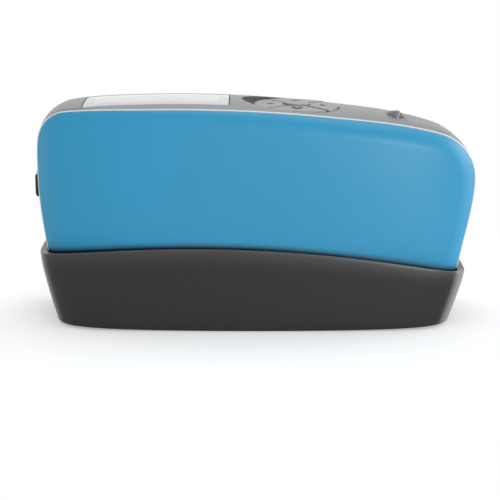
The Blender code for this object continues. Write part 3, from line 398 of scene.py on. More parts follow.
def moulded(name, colour, roughness, grain, drift, wear_and_shade=0.0, **other):
    """A moulded or cast finish. Grain is its scale and strength, drift the share that the colour changes.

    The edge value mixes the colour towards a paler shade of it, or towards the colour given for it.
    On some pieces that is rubbing, on others painted shade and painted highlights. Patch is how fine
    those places are broken up. Sunk is the colour of the painted shadow that it darkens to at the holder's
    rim.
    """
    values = {"dust": 0.0, "specular": 0.5, "metallic": 0.0, "patch": 300.0, "sunk": None}
    values = {"worn": [value + (255 - value) * PALER for value in colour], **values, **other}
    finish, tree, shader = start_finish(name)
    slow = ranged(tree, place_group(tree, DRIFT), 0.0, 1.0)
    body = mixed(tree, slow, shade(colour, 1 - drift), shade(colour, 1 + drift))
    # Edge mix: rubbing on some pieces, painted shade and painted highlights on others.
    wear_and_shade_share = place_group(tree, EDGE_WEAR_AND_SHADE, Amount=wear_and_shade, Scale=values["patch"])
    body = mixed(tree, wear_and_shade_share, body, shade(values["worn"]))
    body = mixed(tree, place_group(tree, DUST, Amount=values["dust"]), body, shade(DUST_COLOUR))
    # Painted shadow: the colour darkens towards the holder's rim.
    if values["sunk"]:
        body = mixed(tree, place_group(tree, RIM), body, shade(values["sunk"]))
    inputs = {
        "Base Color": body,
        "Roughness": ranged(tree, slow, roughness * 0.9, roughness * 1.12, 0.0, 1.0),
        "Normal": bump_from(tree, place_group(tree, GRAIN, Scale=grain[0]), grain[1]),
        "Specular IOR Level": values["specular"],
        "Metallic": values["metallic"],
    }
    set_inputs(tree, shader, inputs)
    MOULDED.append(finish)
    return finish


# %% Finishes of the body and the holder
SATIN = (148, 149, 150)
# Blue: sunk is the colour of a painted shadow just above the holder's rim. Its paler edges are rubbing.
BLUE = moulded(
    "blue_gloss", (42, 150, 194), 0.46, (700.0, 0.03), 0.02, wear_and_shade=0.12, specular=0.45, sunk=(10, 24, 31)
)
# Band: its edge value is a painted shadow along the seams, so the colour it turns to is a dark grey.
GREY = moulded(
    "grey_satin", SATIN, 0.42, (2600.0, 0.18), 0.02, wear_and_shade=1.1, worn=(74, 75, 76), specular=0.35, patch=40.0
)
# Keys: painted shade in the gaps round the keys and round the middle key's rim turns them a dark grey.
KEY_GREY = moulded("key_plastic", (156, 157, 158), 0.45, (3000.0, 0.16), 0.02, wear_and_shade=1.3, worn=(52, 52, 54))
# Painted shade: the dish's slope is a darker grey with strong streaks, standing in for the shade in the
# recess.
DISH_SHADE_GREY = moulded("dish_painted_shade", (74, 75, 77), 0.70, (2600.0, 0.25), 0.25, specular=0.1)
# Button: painted shade darkens the tab's two faces, the right one most, towards a dark grey.
BUTTON_GREY = moulded(
    "button_satin", SATIN, 0.50, (2600.0, 0.2), 0.02, wear_and_shade=1.4, worn=(64, 65, 67), specular=0.2
)
TRIM_WHITE = moulded("white_trim", (226, 228, 229), 0.40, (2200.0, 0.08), 0.02)
# Holder: the paler colour of its edges is a painted highlight on the rim and down the upright corners.
HOLDER_DARK = moulded(
    "holder_plastic",
    (34, 34, 35),
    0.28,
    (2200.0, 0.10),
    0.03,
    wear_and_shade=0.36,
    dust=0.02,
    specular=0.32,
    patch=12.0,
)
RUBBER = moulded("black_rubber", (44, 44, 45), 0.70, (1500.0, 0.30), 0.08, wear_and_shade=0.2, dust=0.15, specular=0.3)
CASTING = moulded("black_casting", (40, 41, 43), 0.55, (1800.0, 0.45), 0.10, wear_and_shade=0.4, metallic=0.6)
SLEEVE = moulded("battery_sleeve", (64, 98, 126), 0.30, (900.0, 0.05), 0.03, wear_and_shade=0.1)
MARK = moulded("mark_ink", (22, 22, 23), 0.55, (3000.0, 0.10), 0.05, specular=0.2)
print("moulded finishes:", ", ".join(finish.name for finish in MOULDED))

# %% [markdown]
# ## Metal, glass and the circuit board
#
# Steel is drawn, so its gloss changes in fine lines along the piece. Black glass is smooth with
# hardly visible smears. Clear glass keeps a plain transmission. The board is green with darker
# copper lines under its lacquer. Most of these are inside, but each is finished as it would be.

# %% Other finishes
def coloured_finish(name, colour, roughness, metallic=0.0):
    finish, tree, shader = start_finish(name)
    set_inputs(tree, shader, {"Base Color": shade(colour), "Roughness": roughness, "Metallic": metallic})
    return finish, tree, shader


def steel_finish():
    finish, tree, shader = coloured_finish("steel", (170, 172, 175), 0.3, 1.0)
    place = add_node(tree, "ShaderNodeTexCoord").outputs["Object"]
    stretched = add_node(tree, "ShaderNodeMapping", {"Vector": place, "Scale": (200.0, 6000.0, 6000.0)})
    lines = add_node(tree, "ShaderNodeTexNoise", {"Vector": stretched, "Scale": 1.0}).outputs["Fac"]
    drawn = mixed(tree, lines, shade((158, 160, 164)), shade((182, 184, 187)))
    set_inputs(tree, shader, {"Roughness": ranged(tree, lines, 0.22, 0.42), "Base Color": drawn})
    return finish


def black_glass_finish():
    finish, tree, shader = coloured_finish("black_glass", (14, 14, 16), 0.04)
    slow = place_group(tree, DRIFT, Scale=60.0, Marks=0.6)
    smeared = mixed(tree, slow, shade((12, 12, 14)), shade((17, 17, 19)))
    set_inputs(tree, shader, {"Roughness": ranged(tree, slow, 0.03, 0.09), "Base Color": smeared})
    return finish


def clear_glass_finish():
    finish, tree, shader = coloured_finish("clear_glass", (222, 236, 232), 0.05)
    slow = place_group(tree, DRIFT, Scale=90.0, Marks=0.5)
    set_inputs(tree, shader, {"Transmission Weight": 1.0, "Roughness": ranged(tree, slow, 0.02, 0.06)})
    return finish


def board_finish():
    finish, tree, shader = coloured_finish("green_board", (30, 92, 58), 0.45)
    inputs = {
        "Vector": add_node(tree, "ShaderNodeTexCoord").outputs["Object"],
        "Scale": 260.0,
        "Mortar Size": 0.03,
        "Color1": shade((30, 92, 58)),
        "Color2": shade((34, 100, 63)),
        "Mortar": shade((24, 74, 46)),
    }
    tracks = add_node(tree, "ShaderNodeTexBrick", inputs)
    bump = bump_from(tree, tracks.outputs["Fac"], 0.3)
    set_inputs(tree, shader, {"Base Color": tracks.outputs["Color"], "Normal": bump})
    return finish


STEEL, BLACK_GLASS = steel_finish(), black_glass_finish()
CLEAR_GLASS, BOARD = clear_glass_finish(), board_finish()
print("other finishes:", ", ".join(made.name for made in (STEEL, BLACK_GLASS, CLEAR_GLASS, BOARD)))

# %% [markdown]
# ## The display pane's finish
#
# The pane is clear, with a pale border printed on its underside round the liquid crystal panel,
# which looks grey green when it is off. Both are masks of the place on the pane, softened over a
# tenth of a millimetre, so no image is needed.

# %% Display pane finish
PANE_LEFT, PANE_RIGHT = -0.0606, -0.0096
PANE_HALF_DEPTH = 0.0125
VIEW_BORDER_ENDS, VIEW_BORDER_SIDES = 0.0034, 0.0042
VIEW_LINE, MASK_SOFTNESS = 0.0005, 0.00005


def inside_of(tree, value, middle, half):
    """1 where a coordinate is within half of the middle, 0 outside."""
    away = (Formula(tree, value) - middle).size()
    return Formula(tree, ranged(tree, away, 1.0, 0.0, half - MASK_SOFTNESS, half + MASK_SOFTNESS))


def view_mask(tree, parts, margin):
    """1 on the display's view and this margin round it, 0 on the border."""
    half = (PANE_RIGHT - PANE_LEFT) / 2 - VIEW_BORDER_ENDS + margin
    depth = PANE_HALF_DEPTH - VIEW_BORDER_SIDES + margin
    along = inside_of(tree, parts.outputs["X"], (PANE_LEFT + PANE_RIGHT) / 2, half)
    return along * inside_of(tree, parts.outputs["Y"], 0.0, depth)


def pane_finish():
    finish, tree, shader = coloured_finish("display_cover", (226, 228, 229), 0.12)
    place = add_node(tree, "ShaderNodeTexCoord").outputs["Object"]
    parts = add_node(tree, "ShaderNodeSeparateXYZ", {0: place})
    view, line = view_mask(tree, parts, 0.0), view_mask(tree, parts, VIEW_LINE)
    slow = place_group(tree, DRIFT, Scale=70.0, Marks=0.5)
    panel = mixed(tree, slow, shade((224, 228, 225)), shade((229, 232, 230)))
    border = mixed(tree, slow, shade((212, 214, 216)), shade((217, 219, 221)))
    framed = mixed(tree, line, border, shade((204, 206, 207)))
    colour = mixed(tree, view, framed, panel)
    set_inputs(tree, shader, {"Base Color": colour, "Roughness": ranged(tree, slow, 0.08, 0.16)})
    return finish


PANE = pane_finish()
print("pane:", round(1000 * (PANE_RIGHT - PANE_LEFT), 1), "mm long")

# %% [markdown]
# ## Building helpers
#
# Most pieces are lofts: closed rings of points, joined by quads. The same few helpers serve them
# all. A finished piece is parented to an empty named for its body, so it moves with that body, and
# the imported solid that it replaces is hidden.

# %% Lofts
def bridge(mesh, first, second):
    """Joins two loops of vertices of the same length with quads."""
    count = len(first)
    for i in range(count):
        j = (i + 1) % count
        mesh.faces.new((first[i], first[j], second[j], second[i]))


def loft(rings, ends="faces", edges=None):
    """Bridges rings of points in order. Edges gives each ring's edge value, for the rubbed edges.

    The end rings get a face each, or are joined to each other, or fold shut when their doubles are merged.
    """
    mesh = bmesh.new()
    layer = mesh.verts.layers.float.new("edge")
    loops = [[mesh.verts.new(point) for point in ring] for ring in rings]
    for loop, value in zip(loops, edges or ()):
        for vertex in loop:
            vertex[layer] = value
    for first, second in zip(loops, loops[1:]):
        bridge(mesh, first, second)
    if ends == "joined":
        bridge(mesh, loops[-1], loops[0])
    elif ends == "faces":
        mesh.faces.new(loops[0])
        mesh.faces.new(loops[-1])
    return mesh


def spaced(start, end, steps):
    return [start + (end - start) * i / steps for i in range(steps + 1)]


def rounding(size, *turns):
    """How far a rounded edge is from its two faces at each of these turns, which are in degrees."""
    angles = [math.radians(turn) for turn in turns]
    return [(size * (1 - math.sin(angle)), size * (1 - math.cos(angle))) for angle in angles]


def circle(radius, height, centre=(0.0, 0.0), steps=64, corners=0):
    """A ring of points, round or with a number of corners. Its height is a number or a function of x."""
    ring = []
    for i in range(steps):
        angle, here = math.tau * i / steps, radius
        if corners:
            sector = math.tau / corners
            here = radius * math.cos(sector / 2) / math.cos(angle % sector - sector / 2)
        x = centre[0] + here * math.cos(angle)
        ring.append((x, centre[1] + here * math.sin(angle), height(x) if callable(height) else height))
    return ring


def turned(outline, centre=(0.0, 0.0), steps=64):
    """Turns an outline of (radius, height) points about an upright line."""
    return loft([circle(radius, height, centre, steps) for radius, height in outline])


def sheet(mesh, xs, ys, height):
    """Quads over a grid in plan, at a height given as a function of x and y. Returns the rows of vertices."""
    grid = [[mesh.verts.new((x, y, height(x, y))) for x in xs] for y in ys]
    for row, after in zip(grid, grid[1:]):
        for i in range(len(xs) - 1):
            mesh.faces.new((row[i], row[i + 1], after[i + 1], after[i]))
    return grid


def around(grid):
    """The vertices on the border of a grid, in order."""
    sides = [row[-1] for row in grid[1:-1]]
    back = [row[0] for row in grid[1:-1]]
    return grid[0] + sides + grid[-1][::-1] + back[::-1]


def slab(xs, ys, top, bottom):
    """A solid over a grid in plan, between two surfaces given as functions of x and y."""
    mesh = bmesh.new()
    upper, lower = sheet(mesh, xs, ys, top), sheet(mesh, xs, ys, bottom)
    bridge(mesh, around(upper), around(lower))
    return mesh


def block(low, high):
    return slab((low[0], high[0]), (low[1], high[1]), lambda x, y: high[2], lambda x, y: low[2])


# %% Finished pieces
MERGE_DISTANCE = 1e-7


def add_piece(name, mesh, finish, crease=30.0):
    """Makes an object of a bmesh: doubles merged, faces outward, smooth except at its creases."""
    bmesh.ops.remove_doubles(mesh, verts=mesh.verts, dist=MERGE_DISTANCE)
    bmesh.ops.recalc_face_normals(mesh, faces=mesh.faces)
    data = bpy.data.meshes.new(name)
    mesh.to_mesh(data)
    mesh.free()
    data.shade_smooth()
    data.materials.append(finish)
    crease_at(data, crease)
    return add_object(name, data)


def crease_at(data, degrees):
    data.set_sharp_from_angle(angle=math.radians(degrees))


def plain_mesh(piece):
    """Replaces what the modifiers do by a mesh of its own, and removes them."""
    bpy.context.view_layer.update()
    graph = bpy.context.evaluated_depsgraph_get()
    made = bpy.data.meshes.new_from_object(piece.evaluated_get(graph), depsgraph=graph)
    finish, name = piece.data.materials[0], piece.name
    bpy.data.objects.remove(piece)
    made.name = name
    if not made.materials:
        made.materials.append(finish)
    return add_object(name, made)


def carve(piece, steps):
    """Runs exact Booleans in order. Steps are (operation, bmesh) pairs. Returns the carved piece."""
    helpers = []
    for operation, mesh in steps:
        helper = add_piece("helper", mesh, piece.data.materials[0])
        modifier = piece.modifiers.new("carve", "BOOLEAN")
        modifier.operation, modifier.object, modifier.solver = operation, helper, "EXACT"
        helpers.append(helper)
    carved = plain_mesh(piece)
    for helper in helpers:
        bpy.data.objects.remove(helper)
    return carved


def seat(piece, body, nodes):
    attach(piece, body)
    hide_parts(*nodes)
    print(f"{piece.name}: {len(piece.data.polygons)} faces, stands for {', '.join(nodes)}")


# %% [markdown]
# ## The body's own curves
#
# The side profile is a closed line of a dozen rows: a place, the direction the line runs in, and
# a curve to the next row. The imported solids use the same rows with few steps. Here each step is
# cut into several, so that light glides over the body without facets. The body narrows to both
# ends in plan, and the same rule gives the depth of the seam and of the faces.

# %% Side profile
FINER = 5
SOLE_HEIGHT = 0.0090
LOW_HEIGHT = 0.0180
LOW_LEFT, LOW_RIGHT = -0.0723, 0.0714
STRAIGHT = 0.001
PROFILE = (
    (-0.0770, 0.0540, 90.0, 2),
    (-0.0765, 0.0660, 80.0, 7),
    (-0.0665, 0.0760, 7.0, 4),
    (-0.0360, 0.0773, 1.0, 7),
    (0.0240, 0.0746, -6.0, 5),
    (0.0640, 0.0681, -17.0, 8),
    (0.0777, 0.0500, -92.0, 4),
    (0.0735, 0.0275, -103.0, 2),
    (LOW_RIGHT, LOW_HEIGHT, -103.0, 6),
    (0.0625, SOLE_HEIGHT, 180.0, 10),
    (-0.0640, SOLE_HEIGHT, 180.0, 6),
    (LOW_LEFT, LOW_HEIGHT, 101.0, 5),
)


def heading(degrees):
    return Vector((math.cos(math.radians(degrees)), math.sin(math.radians(degrees))))


def curve_point(corners, t):
    """The point at a share of the way along a cubic curve."""
    weights = ((1 - t) ** 3, 3 * t * (1 - t) ** 2, 3 * t * t * (1 - t), t**3)
    point = Vector((0.0, 0.0))
    for weight, corner in zip(weights, corners):
        point += weight * corner
    return point


def curve_span(start, end):
    """Points of the curve from one row of the profile up to the next, which is left out."""
    turn = (math.radians(end[2] - start[2]) + math.pi) % math.tau - math.pi
    chord = math.hypot(end[0] - start[0], end[1] - start[1])
    reach = chord / 3
    if abs(turn) > STRAIGHT:
        reach = chord * (2 / 3) * math.tan(abs(turn) / 4) / math.sin(abs(turn) / 2)
    first, last = Vector(start[:2]), Vector(end[:2])
    corners = (first, first + reach * heading(start[2]), last - reach * heading(end[2]), last)
    return [curve_point(corners, share) for share in spaced(0.0, 1.0, FINER * start[3])[:-1]]


def profile_normals(points):
    """Outward directions of a closed line that runs clockwise."""
    normals = []
    for i in range(len(points)):
        along = points[(i + 1) % len(points)] - points[i - 1]
        normals.append(Vector((-along.y, along.x)).normalized())
    return normals


LINE = [point for start, end in zip(PROFILE, PROFILE[1:] + PROFILE[:1]) for point in curve_span(start, end)]
NORMALS = profile_normals(LINE)
TOP_LINE_LOW = 0.044
TOP_LINE = [point for point in LINE if point.y > TOP_LINE_LOW]
print("points on the profile:", len(LINE))

# %% Depth and height rules
SEAM_DEPTH, FACE_DEPTH = 0.0195, 0.0240
SEAM_SHARE, SEAM_TAPER = 0.94, 1.6
PLAN_REACH, PLAN_POWER = 0.0800, 3.0
FACE_BULGE, FACE_MIDDLE_HEIGHT, FACE_HALF_HEIGHT = 0.055, 0.044, 0.034
FRAME_WALL, SOLE_WALL = 0.0022, 0.0036
CROWN, CROWN_CENTRE, CROWN_LEFT, CROWN_RIGHT, CROWN_FADE = 0.0018, -0.0300, 0.0600, 0.1030, 0.0300
CROWN_LEAST = 0.25


def top_height(x):
    """Height of the seam line over the top of the body."""
    for left, right in zip(TOP_LINE, TOP_LINE[1:]):
        if left.x <= x <= right.x:
            return left.y + (right.y - left.y) * (x - left.x) / (right.x - left.x)
    return TOP_LINE[0].y


def plan_share(x):
    """How much of its full depth the body has at this x, from 1 in the middle to nearly 0 at the ends."""
    return (1 - min(abs(x) / PLAN_REACH, 0.995) ** PLAN_POWER) ** (1 / PLAN_POWER)


def seam_depth(x):
    """Half the width of the band, which narrows a little to the right."""
    return SEAM_DEPTH * plan_share(x) * min(1.0, SEAM_SHARE - SEAM_TAPER * x)


def face_depth(x, z):
    return FACE_DEPTH * plan_share(x) * (1 - FACE_BULGE * ((z - FACE_MIDDLE_HEIGHT) / FACE_HALF_HEIGHT) ** 2)


def crown(x, z):
    """How far the middle of the band stands proud of its two seams."""
    reach = CROWN_LEFT if x < CROWN_CENTRE else CROWN_RIGHT
    share = max(CROWN_LEAST, 1 - ((x - CROWN_CENTRE) / reach) ** 2)
    return CROWN * share * min(1.0, (z - SOLE_HEIGHT) / CROWN_FADE)


def band_height(x, y):
    """Height of the outer surface of the band on top of the body."""
    z = top_height(x)
    return z + crown(x, z) * (1 - (y / seam_depth(x)) ** 2)


def band_inside(x):
    return top_height(x) - FRAME_WALL


print("top of the band:", round(1000 * band_height(-0.036, 0.0), 1), "mm")

# %% [markdown]
# ## The band
#
# The band is one moulding that runs right round the body. It is lofted from sections across it,
# each with a crowned outside. The pocket for the pane, the round dish for the keys, the slot for
# the button and the recess for the port are carved out with exact Booleans, as a mould would
# leave them. A Boolean splits the smooth faces round each opening, and their shading would show
# dents there. So the directions that light is computed with are taken from the whole band, as it
# was before the cuts, wherever the surface hasn't changed.

# %% Band sections
FIT = 0.0003
OVERSHOOT = 0.0020
BAND_STEPS, SOLE_FACING = 24, -0.9
SEAM_ROUND = 0.0004
SEAM_SHADE, SEAM_SHADE_FADE, SEAM_SHADE_SHARE = 0.0045, 0.0032, 0.75
SHOULDER_FADE, LEFT_SHOULDER, RIGHT_SHOULDER = 0.0080, -0.0540, 0.0480
STREAK_PLACE, STREAK_HALF_WIDTH, STREAK_SHARE = 0.0085, 0.0020, 0.35
SHADE_LOW, SHADE_FADE = 0.0500, 0.0120
RIGHT_SHADE, RIGHT_SHADE_START, RIGHT_SHADE_FADE, RIGHT_SHADE_REACH = 0.55, 0.0200, 0.0250, 0.0200


def band_section(point, normal):
    """The closed section of the band at one place on the profile, with its two seam edges rounded."""
    depth, proud = seam_depth(point.x), crown(point.x, point.y)
    wall = SOLE_WALL if normal.y < SOLE_FACING else FRAME_WALL
    outer = []
    for s in spaced(-1.0, 1.0, BAND_STEPS):
        place = point + normal * proud * (1 - s * s)
        outer.append((place.x, s * (depth - SEAM_ROUND), place.y))
    for share in (0.3, 0.7, 1.0):
        angle = share * math.pi / 2
        low = point - normal * SEAM_ROUND * 0.5 * (1 - math.cos(angle))
        side = depth - SEAM_ROUND + SEAM_ROUND * math.sin(angle)
        outer = [(low.x, -side, low.y)] + outer + [(low.x, side, low.y)]
    inside = point - normal * wall
    return outer + [(inside.x, depth, inside.y), (inside.x, 0.0, inside.y), (inside.x, -depth, inside.y)]


def whole_band():
    """The band before it is carved."""
    return loft([band_section(point, normal) for point, normal in zip(LINE, NORMALS)], "joined")


def clamped(value):
    return min(1.0, max(0.0, value))


def seam_shade(x, away):
    """The shadow that the band gathers towards a seam.

    It is a line on each shoulder, and a second one and a soft shade on the right, where the edge rolls down.
    """
    line = SEAM_SHADE_SHARE * clamped((SEAM_SHADE - away) / SEAM_SHADE_FADE)
    if x < 0:
        return line * clamped((LEFT_SHOULDER - x) / SHOULDER_FADE)
    streak = STREAK_SHARE * clamped(1 - abs(away - STREAK_PLACE) / STREAK_HALF_WIDTH)
    reached = clamped((x - RIGHT_SHADE_START) / RIGHT_SHADE_FADE)
    soft = RIGHT_SHADE * reached * clamped(1 - away / RIGHT_SHADE_REACH)
    return max(soft, max(line, streak) * clamped((x - RIGHT_SHOULDER) / SHOULDER_FADE))


def shade_seams(band):
    """Writes the shadow of the seams as the edge value of the carved band's points."""
    layer = band.data.attributes.get("edge") or band.data.attributes.new("edge", "FLOAT", "POINT")
    for vertex, value in zip(band.data.vertices, layer.data):
        x, y, z = vertex.co
        value.value = seam_shade(x, seam_depth(x) - abs(y)) * clamped((z - SHADE_LOW) / SHADE_FADE)


# %% Openings on top of the band
PANE_THICKNESS, PANE_SUNK, PANE_LEDGE = 0.0014, 0.0001, 0.0020
KEYPAD_X, KEYPAD_RADIUS, KEYPAD_SLOPE = 0.0143, 0.0150, -0.035
KEYPAD_HEIGHT = 0.0762
DISH_SLOPE, DISH_REACH, DISH_MATCH = 0.40, 0.0080, 0.00004
BUTTON_LEFT, BUTTON_RIGHT, BUTTON_HALF_DEPTH, BUTTON_GAP = 0.0466, 0.0528, 0.0066, 0.00012


def keypad_height(x):
    """Height of the keys' plane, which leans a little down to the right."""
    return KEYPAD_HEIGHT + KEYPAD_SLOPE * (x - KEYPAD_X)


def keypad_ring(radius, height, steps=144):
    """A ring round the middle of the keypad. Its height is a function of x."""
    return circle(radius, height, (KEYPAD_X, 0.0), steps)


def pane_grid(inset):
    """The x and the y lines of a grid over the pane, set in from its edges."""
    depth = PANE_HALF_DEPTH - inset
    return spaced(PANE_LEFT + inset, PANE_RIGHT - inset, 40), spaced(-depth, depth, 20)


def pane_openings():
    """The pocket that the pane lies in, and the opening under it for the display."""
    sunk = PANE_SUNK + PANE_THICKNESS + FIT
    xs, ys = pane_grid(-FIT)
    pocket = slab(xs, ys, lambda x, y: band_height(x, y) + OVERSHOOT, lambda x, y: band_height(x, y) - sunk)
    depth = PANE_HALF_DEPTH - PANE_LEDGE
    low = (PANE_LEFT + PANE_LEDGE, -depth, band_inside(PANE_LEFT) - OVERSHOOT)
    return [pocket, block(low, (PANE_RIGHT - PANE_LEDGE, depth, KEYPAD_HEIGHT + CROWN))]


def dish_opening():
    """The round hole for the keys, and the dish that flares from it up to the band's surface."""
    hole, lip, rise = KEYPAD_RADIUS + FIT, KEYPAD_RADIUS + FIT + DISH_REACH, DISH_SLOPE * DISH_REACH
    return loft(
        (
            keypad_ring(hole, lambda x: band_inside(x) - OVERSHOOT),
            keypad_ring(hole, keypad_height),
            keypad_ring(lip, lambda x: keypad_height(x) + rise),
            keypad_ring(lip, lambda x: keypad_height(x) + 2 * rise),
        )
    )


def button_opening():
    gap = BUTTON_GAP
    low = (BUTTON_LEFT - gap, -BUTTON_HALF_DEPTH - gap, band_inside(BUTTON_RIGHT) - OVERSHOOT)
    return block(low, (BUTTON_RIGHT + gap, BUTTON_HALF_DEPTH + gap, KEYPAD_HEIGHT))


# %% Openings in the end and the sole, and the posts inside
PORT_HEIGHT, PORT_HALF_WIDTH, PORT_HALF_HEIGHT = 0.0492, 0.0062, 0.0050
PORT_COVER_THICKNESS, PORT_COVER_PROUD = 0.0023, 0.0010
SOCKET_HALF_WIDTH, SOCKET_HALF_HEIGHT = 0.0045, 0.0016
OPTICS_HALF_LENGTH, OPTICS_HALF_DEPTH = 0.0433, 0.0088
BOARD_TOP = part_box("main_board")[1].z
POST_RADIUS, POST_HOLE, POST_HOLE_DEPTH = 0.0023, 0.0010, 0.0055
POSTS = ((-0.0625, 0.0090), (-0.0625, -0.0090), (0.0392, 0.0090), (0.0392, -0.0090))


def end_surface(z):
    """X of the outer surface of the band on the left end, in the middle of its depth."""
    upward = zip(LINE, LINE[1:] + LINE[:1])
    low, high = [(a, b) for a, b in upward if a.x < 0 and a.y <= z <= b.y][0]
    x = low.x + (high.x - low.x) * (z - low.y) / (high.y - low.y)
    return x - crown(x, z)


PORT_FLOOR = end_surface(PORT_HEIGHT) + PORT_COVER_THICKNESS - PORT_COVER_PROUD


def port_opening(half_width, half_height, floor):
    """A slot into the left end, round the middle of the port, with room for what goes into it."""
    wide, high = half_width + FIT, half_height + FIT
    outside = end_surface(PORT_HEIGHT) - OVERSHOOT
    return block((outside, -wide, PORT_HEIGHT - high), (floor, wide, PORT_HEIGHT + high))


def port_openings():
    """The recess for the port cover, and the slot in its floor for the socket."""
    recess = port_opening(PORT_HALF_WIDTH, PORT_HALF_HEIGHT, PORT_FLOOR + FIT)
    return [recess, port_opening(SOCKET_HALF_WIDTH, SOCKET_HALF_HEIGHT, PORT_FLOOR + 2 * FRAME_WALL)]


def sole_openings():
    """The recess for the sole plate and the opening over it for the optics."""
    (low, high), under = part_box("sole_plate"), SOLE_HEIGHT - OVERSHOOT
    recess = block((low.x - FIT, low.y - FIT, under), (high.x + FIT, high.y + FIT, high.z + FIT))
    length, depth = OPTICS_HALF_LENGTH, OPTICS_HALF_DEPTH
    opening = block((-length, -depth, under), (length, depth, SOLE_HEIGHT + 2 * SOLE_WALL))
    return [recess, opening]


def band_carving():
    steps = []
    for x, y in POSTS:
        outline = ((POST_RADIUS, BOARD_TOP + FIT), (POST_RADIUS, band_inside(x) + FRAME_WALL / 2))
        steps.append(("UNION", turned(outline, (x, y))))
    for mesh in pane_openings() + [dish_opening(), button_opening()] + port_openings() + sole_openings():
        steps.append(("DIFFERENCE", mesh))
    for place in POSTS:
        outline = ((POST_HOLE, BOARD_TOP - FIT), (POST_HOLE, BOARD_TOP + POST_HOLE_DEPTH))
        steps.append(("DIFFERENCE", turned(outline, place, 24)))
    return steps


# %% Carve the band and give it the whole band's shading
FACING_ALIKE, SURFACE_REACH, NEVER_ZERO = 0.95, 2e-6, 1e-7


def shade_as(piece, smooth):
    """Gives a carved piece the shading directions of the uncarved mesh, where its surface hasn't changed."""
    tree = BVHTree.FromPolygons([v.co for v in smooth.vertices], [list(p.vertices) for p in smooth.polygons])
    corners = {p.index: list(p.vertices) for p in smooth.polygons}
    directions = []
    for polygon in piece.data.polygons:
        for index in polygon.vertices:
            point = piece.data.vertices[index].co
            _, normal, face, distance = tree.find_nearest(point)
            if distance > SURFACE_REACH or normal.dot(polygon.normal) < FACING_ALIKE:
                directions.append((0.0, 0.0, 0.0))
                continue
            total = Vector((0.0, 0.0, 0.0))
            for corner in corners[face]:
                vertex = smooth.vertices[corner]
                total += vertex.normal / ((vertex.co - point).length + NEVER_ZERO)
            directions.append(total.normalized())
    piece.data.normals_split_custom_set(directions)


def paint_dish_shade(band):
    """Gives the faces on the dish's slope the darker grey of the painted shade in the recess."""
    band.data.materials.append(DISH_SHADE_GREY)
    index = len(band.data.materials) - 1
    for polygon in band.data.polygons:
        drops = []
        for vertex in polygon.vertices:
            place = band.data.vertices[vertex].co
            radius = math.hypot(place.x - KEYPAD_X, place.y)
            slope = keypad_height(place.x) + DISH_SLOPE * (radius - KEYPAD_RADIUS - FIT)
            drops.append(abs(place.z - slope))
        if max(drops) < DISH_MATCH:
            polygon.material_index = index


def make_band():
    whole = add_piece("band", whole_band(), GREY, 50.0)
    smooth = whole.data.copy()
    band = carve(whole, band_carving())
    crease_at(band.data, 32.0)
    shade_as(band, smooth)
    shade_seams(band)
    paint_dish_shade(band)
    print("faces of the dish:", sum(polygon.material_index > 0 for polygon in band.data.polygons))
    bpy.data.meshes.remove(smooth)
    seat(band, "instrument", ["body_frame"])


make_band()

# %% [markdown]
# ## The two blue shells
#
# Each shell is a shallow dome of gloss plastic. It starts at the seam, turns through a rounded
# edge and closes over the face. The rings of the loft follow the side profile: first inside from
# the middle to the edge, then outside back to the middle. There each ring folds shut on a straight
# spine: a point on top and the one opposite below run to the same place on it, and merge. The
# outer edge starts a little lower than the band, so that the sloping face of the trim shows.

# %% Shells
SEAM_GAP, TRIM_WIDTH = 0.00015, 0.0006
SHELL_WALL, SHELL_ROUND, SHELL_SPINE = 0.0020, 0.0062, 0.0400
SHELL_DROP = 0.0002
TRIM_PROUD = 0.00025
SHELL_EDGE_WEAR = 0.5
OPPOSITE = [(point.x + LINE[-number].x) / 2 for number, point in enumerate(LINE)]
SPINE = [Vector((max(-SHELL_SPINE, min(SHELL_SPINE, x)), FACE_MIDDLE_HEIGHT)) for x in OPPOSITE]


def shell_ring(side, inset, lift, wall, towards_spine=0.0):
    """A ring of a shell, set in from the profile and lifted from the seam towards the face."""
    ring = []
    for point, normal, spine in zip(LINE, NORMALS, SPINE):
        place = (point - normal * inset).lerp(spine, towards_spine)
        edge = seam_depth(point.x) + 2 * SEAM_GAP + TRIM_WIDTH
        face = face_depth(place.x, place.y) - wall
        ring.append((place.x, side * (edge + (face - edge) * lift), place.y))
    return ring


def shell_rows():
    """The rings of a shell: inset, lift, wall, share towards the spine and edge value."""
    inner_round, outer_round = SHELL_ROUND - SHELL_WALL, SHELL_ROUND - SHELL_DROP
    rows = [(SHELL_ROUND, 1.0, SHELL_WALL, share, 0.0) for share in (1.0, 0.6, 0.3)]
    for turn in (90, 60, 30, 0):
        angle = math.radians(turn)
        rows.append((SHELL_ROUND - inner_round * math.cos(angle), math.sin(angle), SHELL_WALL, 0.0, 0.0))
    for turn in (0, 1.5, 4, 8, 14, 21, 28, 35, 42, 49, 56, 63, 70, 77, 84, 90):
        angle = math.radians(turn)
        wear_and_shade = max(0.0, SHELL_EDGE_WEAR * (1 - turn / 8))
        rows.append((SHELL_DROP + outer_round * (1 - math.cos(angle)), math.sin(angle), 0.0, 0.0, wear_and_shade))
    for share in (0.04, 0.1, 0.18, 0.28, 0.4, 0.52, 0.64, 0.76, 0.88, 1.0):
        rows.append((SHELL_ROUND, 1.0, 0.0, share, 0.0))
    return rows


def make_shell(name, side, node):
    rows = shell_rows()
    mesh = loft([shell_ring(side, *row[:-1]) for row in rows], "folded", [row[-1] for row in rows])
    seat(add_piece(name, mesh, BLUE, 40.0), "instrument", [node])


make_shell("front_shell", -1, "front_cover")
make_shell("rear_shell", 1, "rear_cover")

# %% [markdown]
# ## The white trim, swept by Geometry Nodes
#
# The trim is a thin white gasket that follows the seam, so it is a sweep: a path and a section.
# The path is a closed curve along the seam. The tree turns the curve's own frame so that one axis
# looks straight out of the profile, sweeps a four cornered section along it and rounds its
# corners. Its sizes are inputs of the tree, so one tree makes both trims.

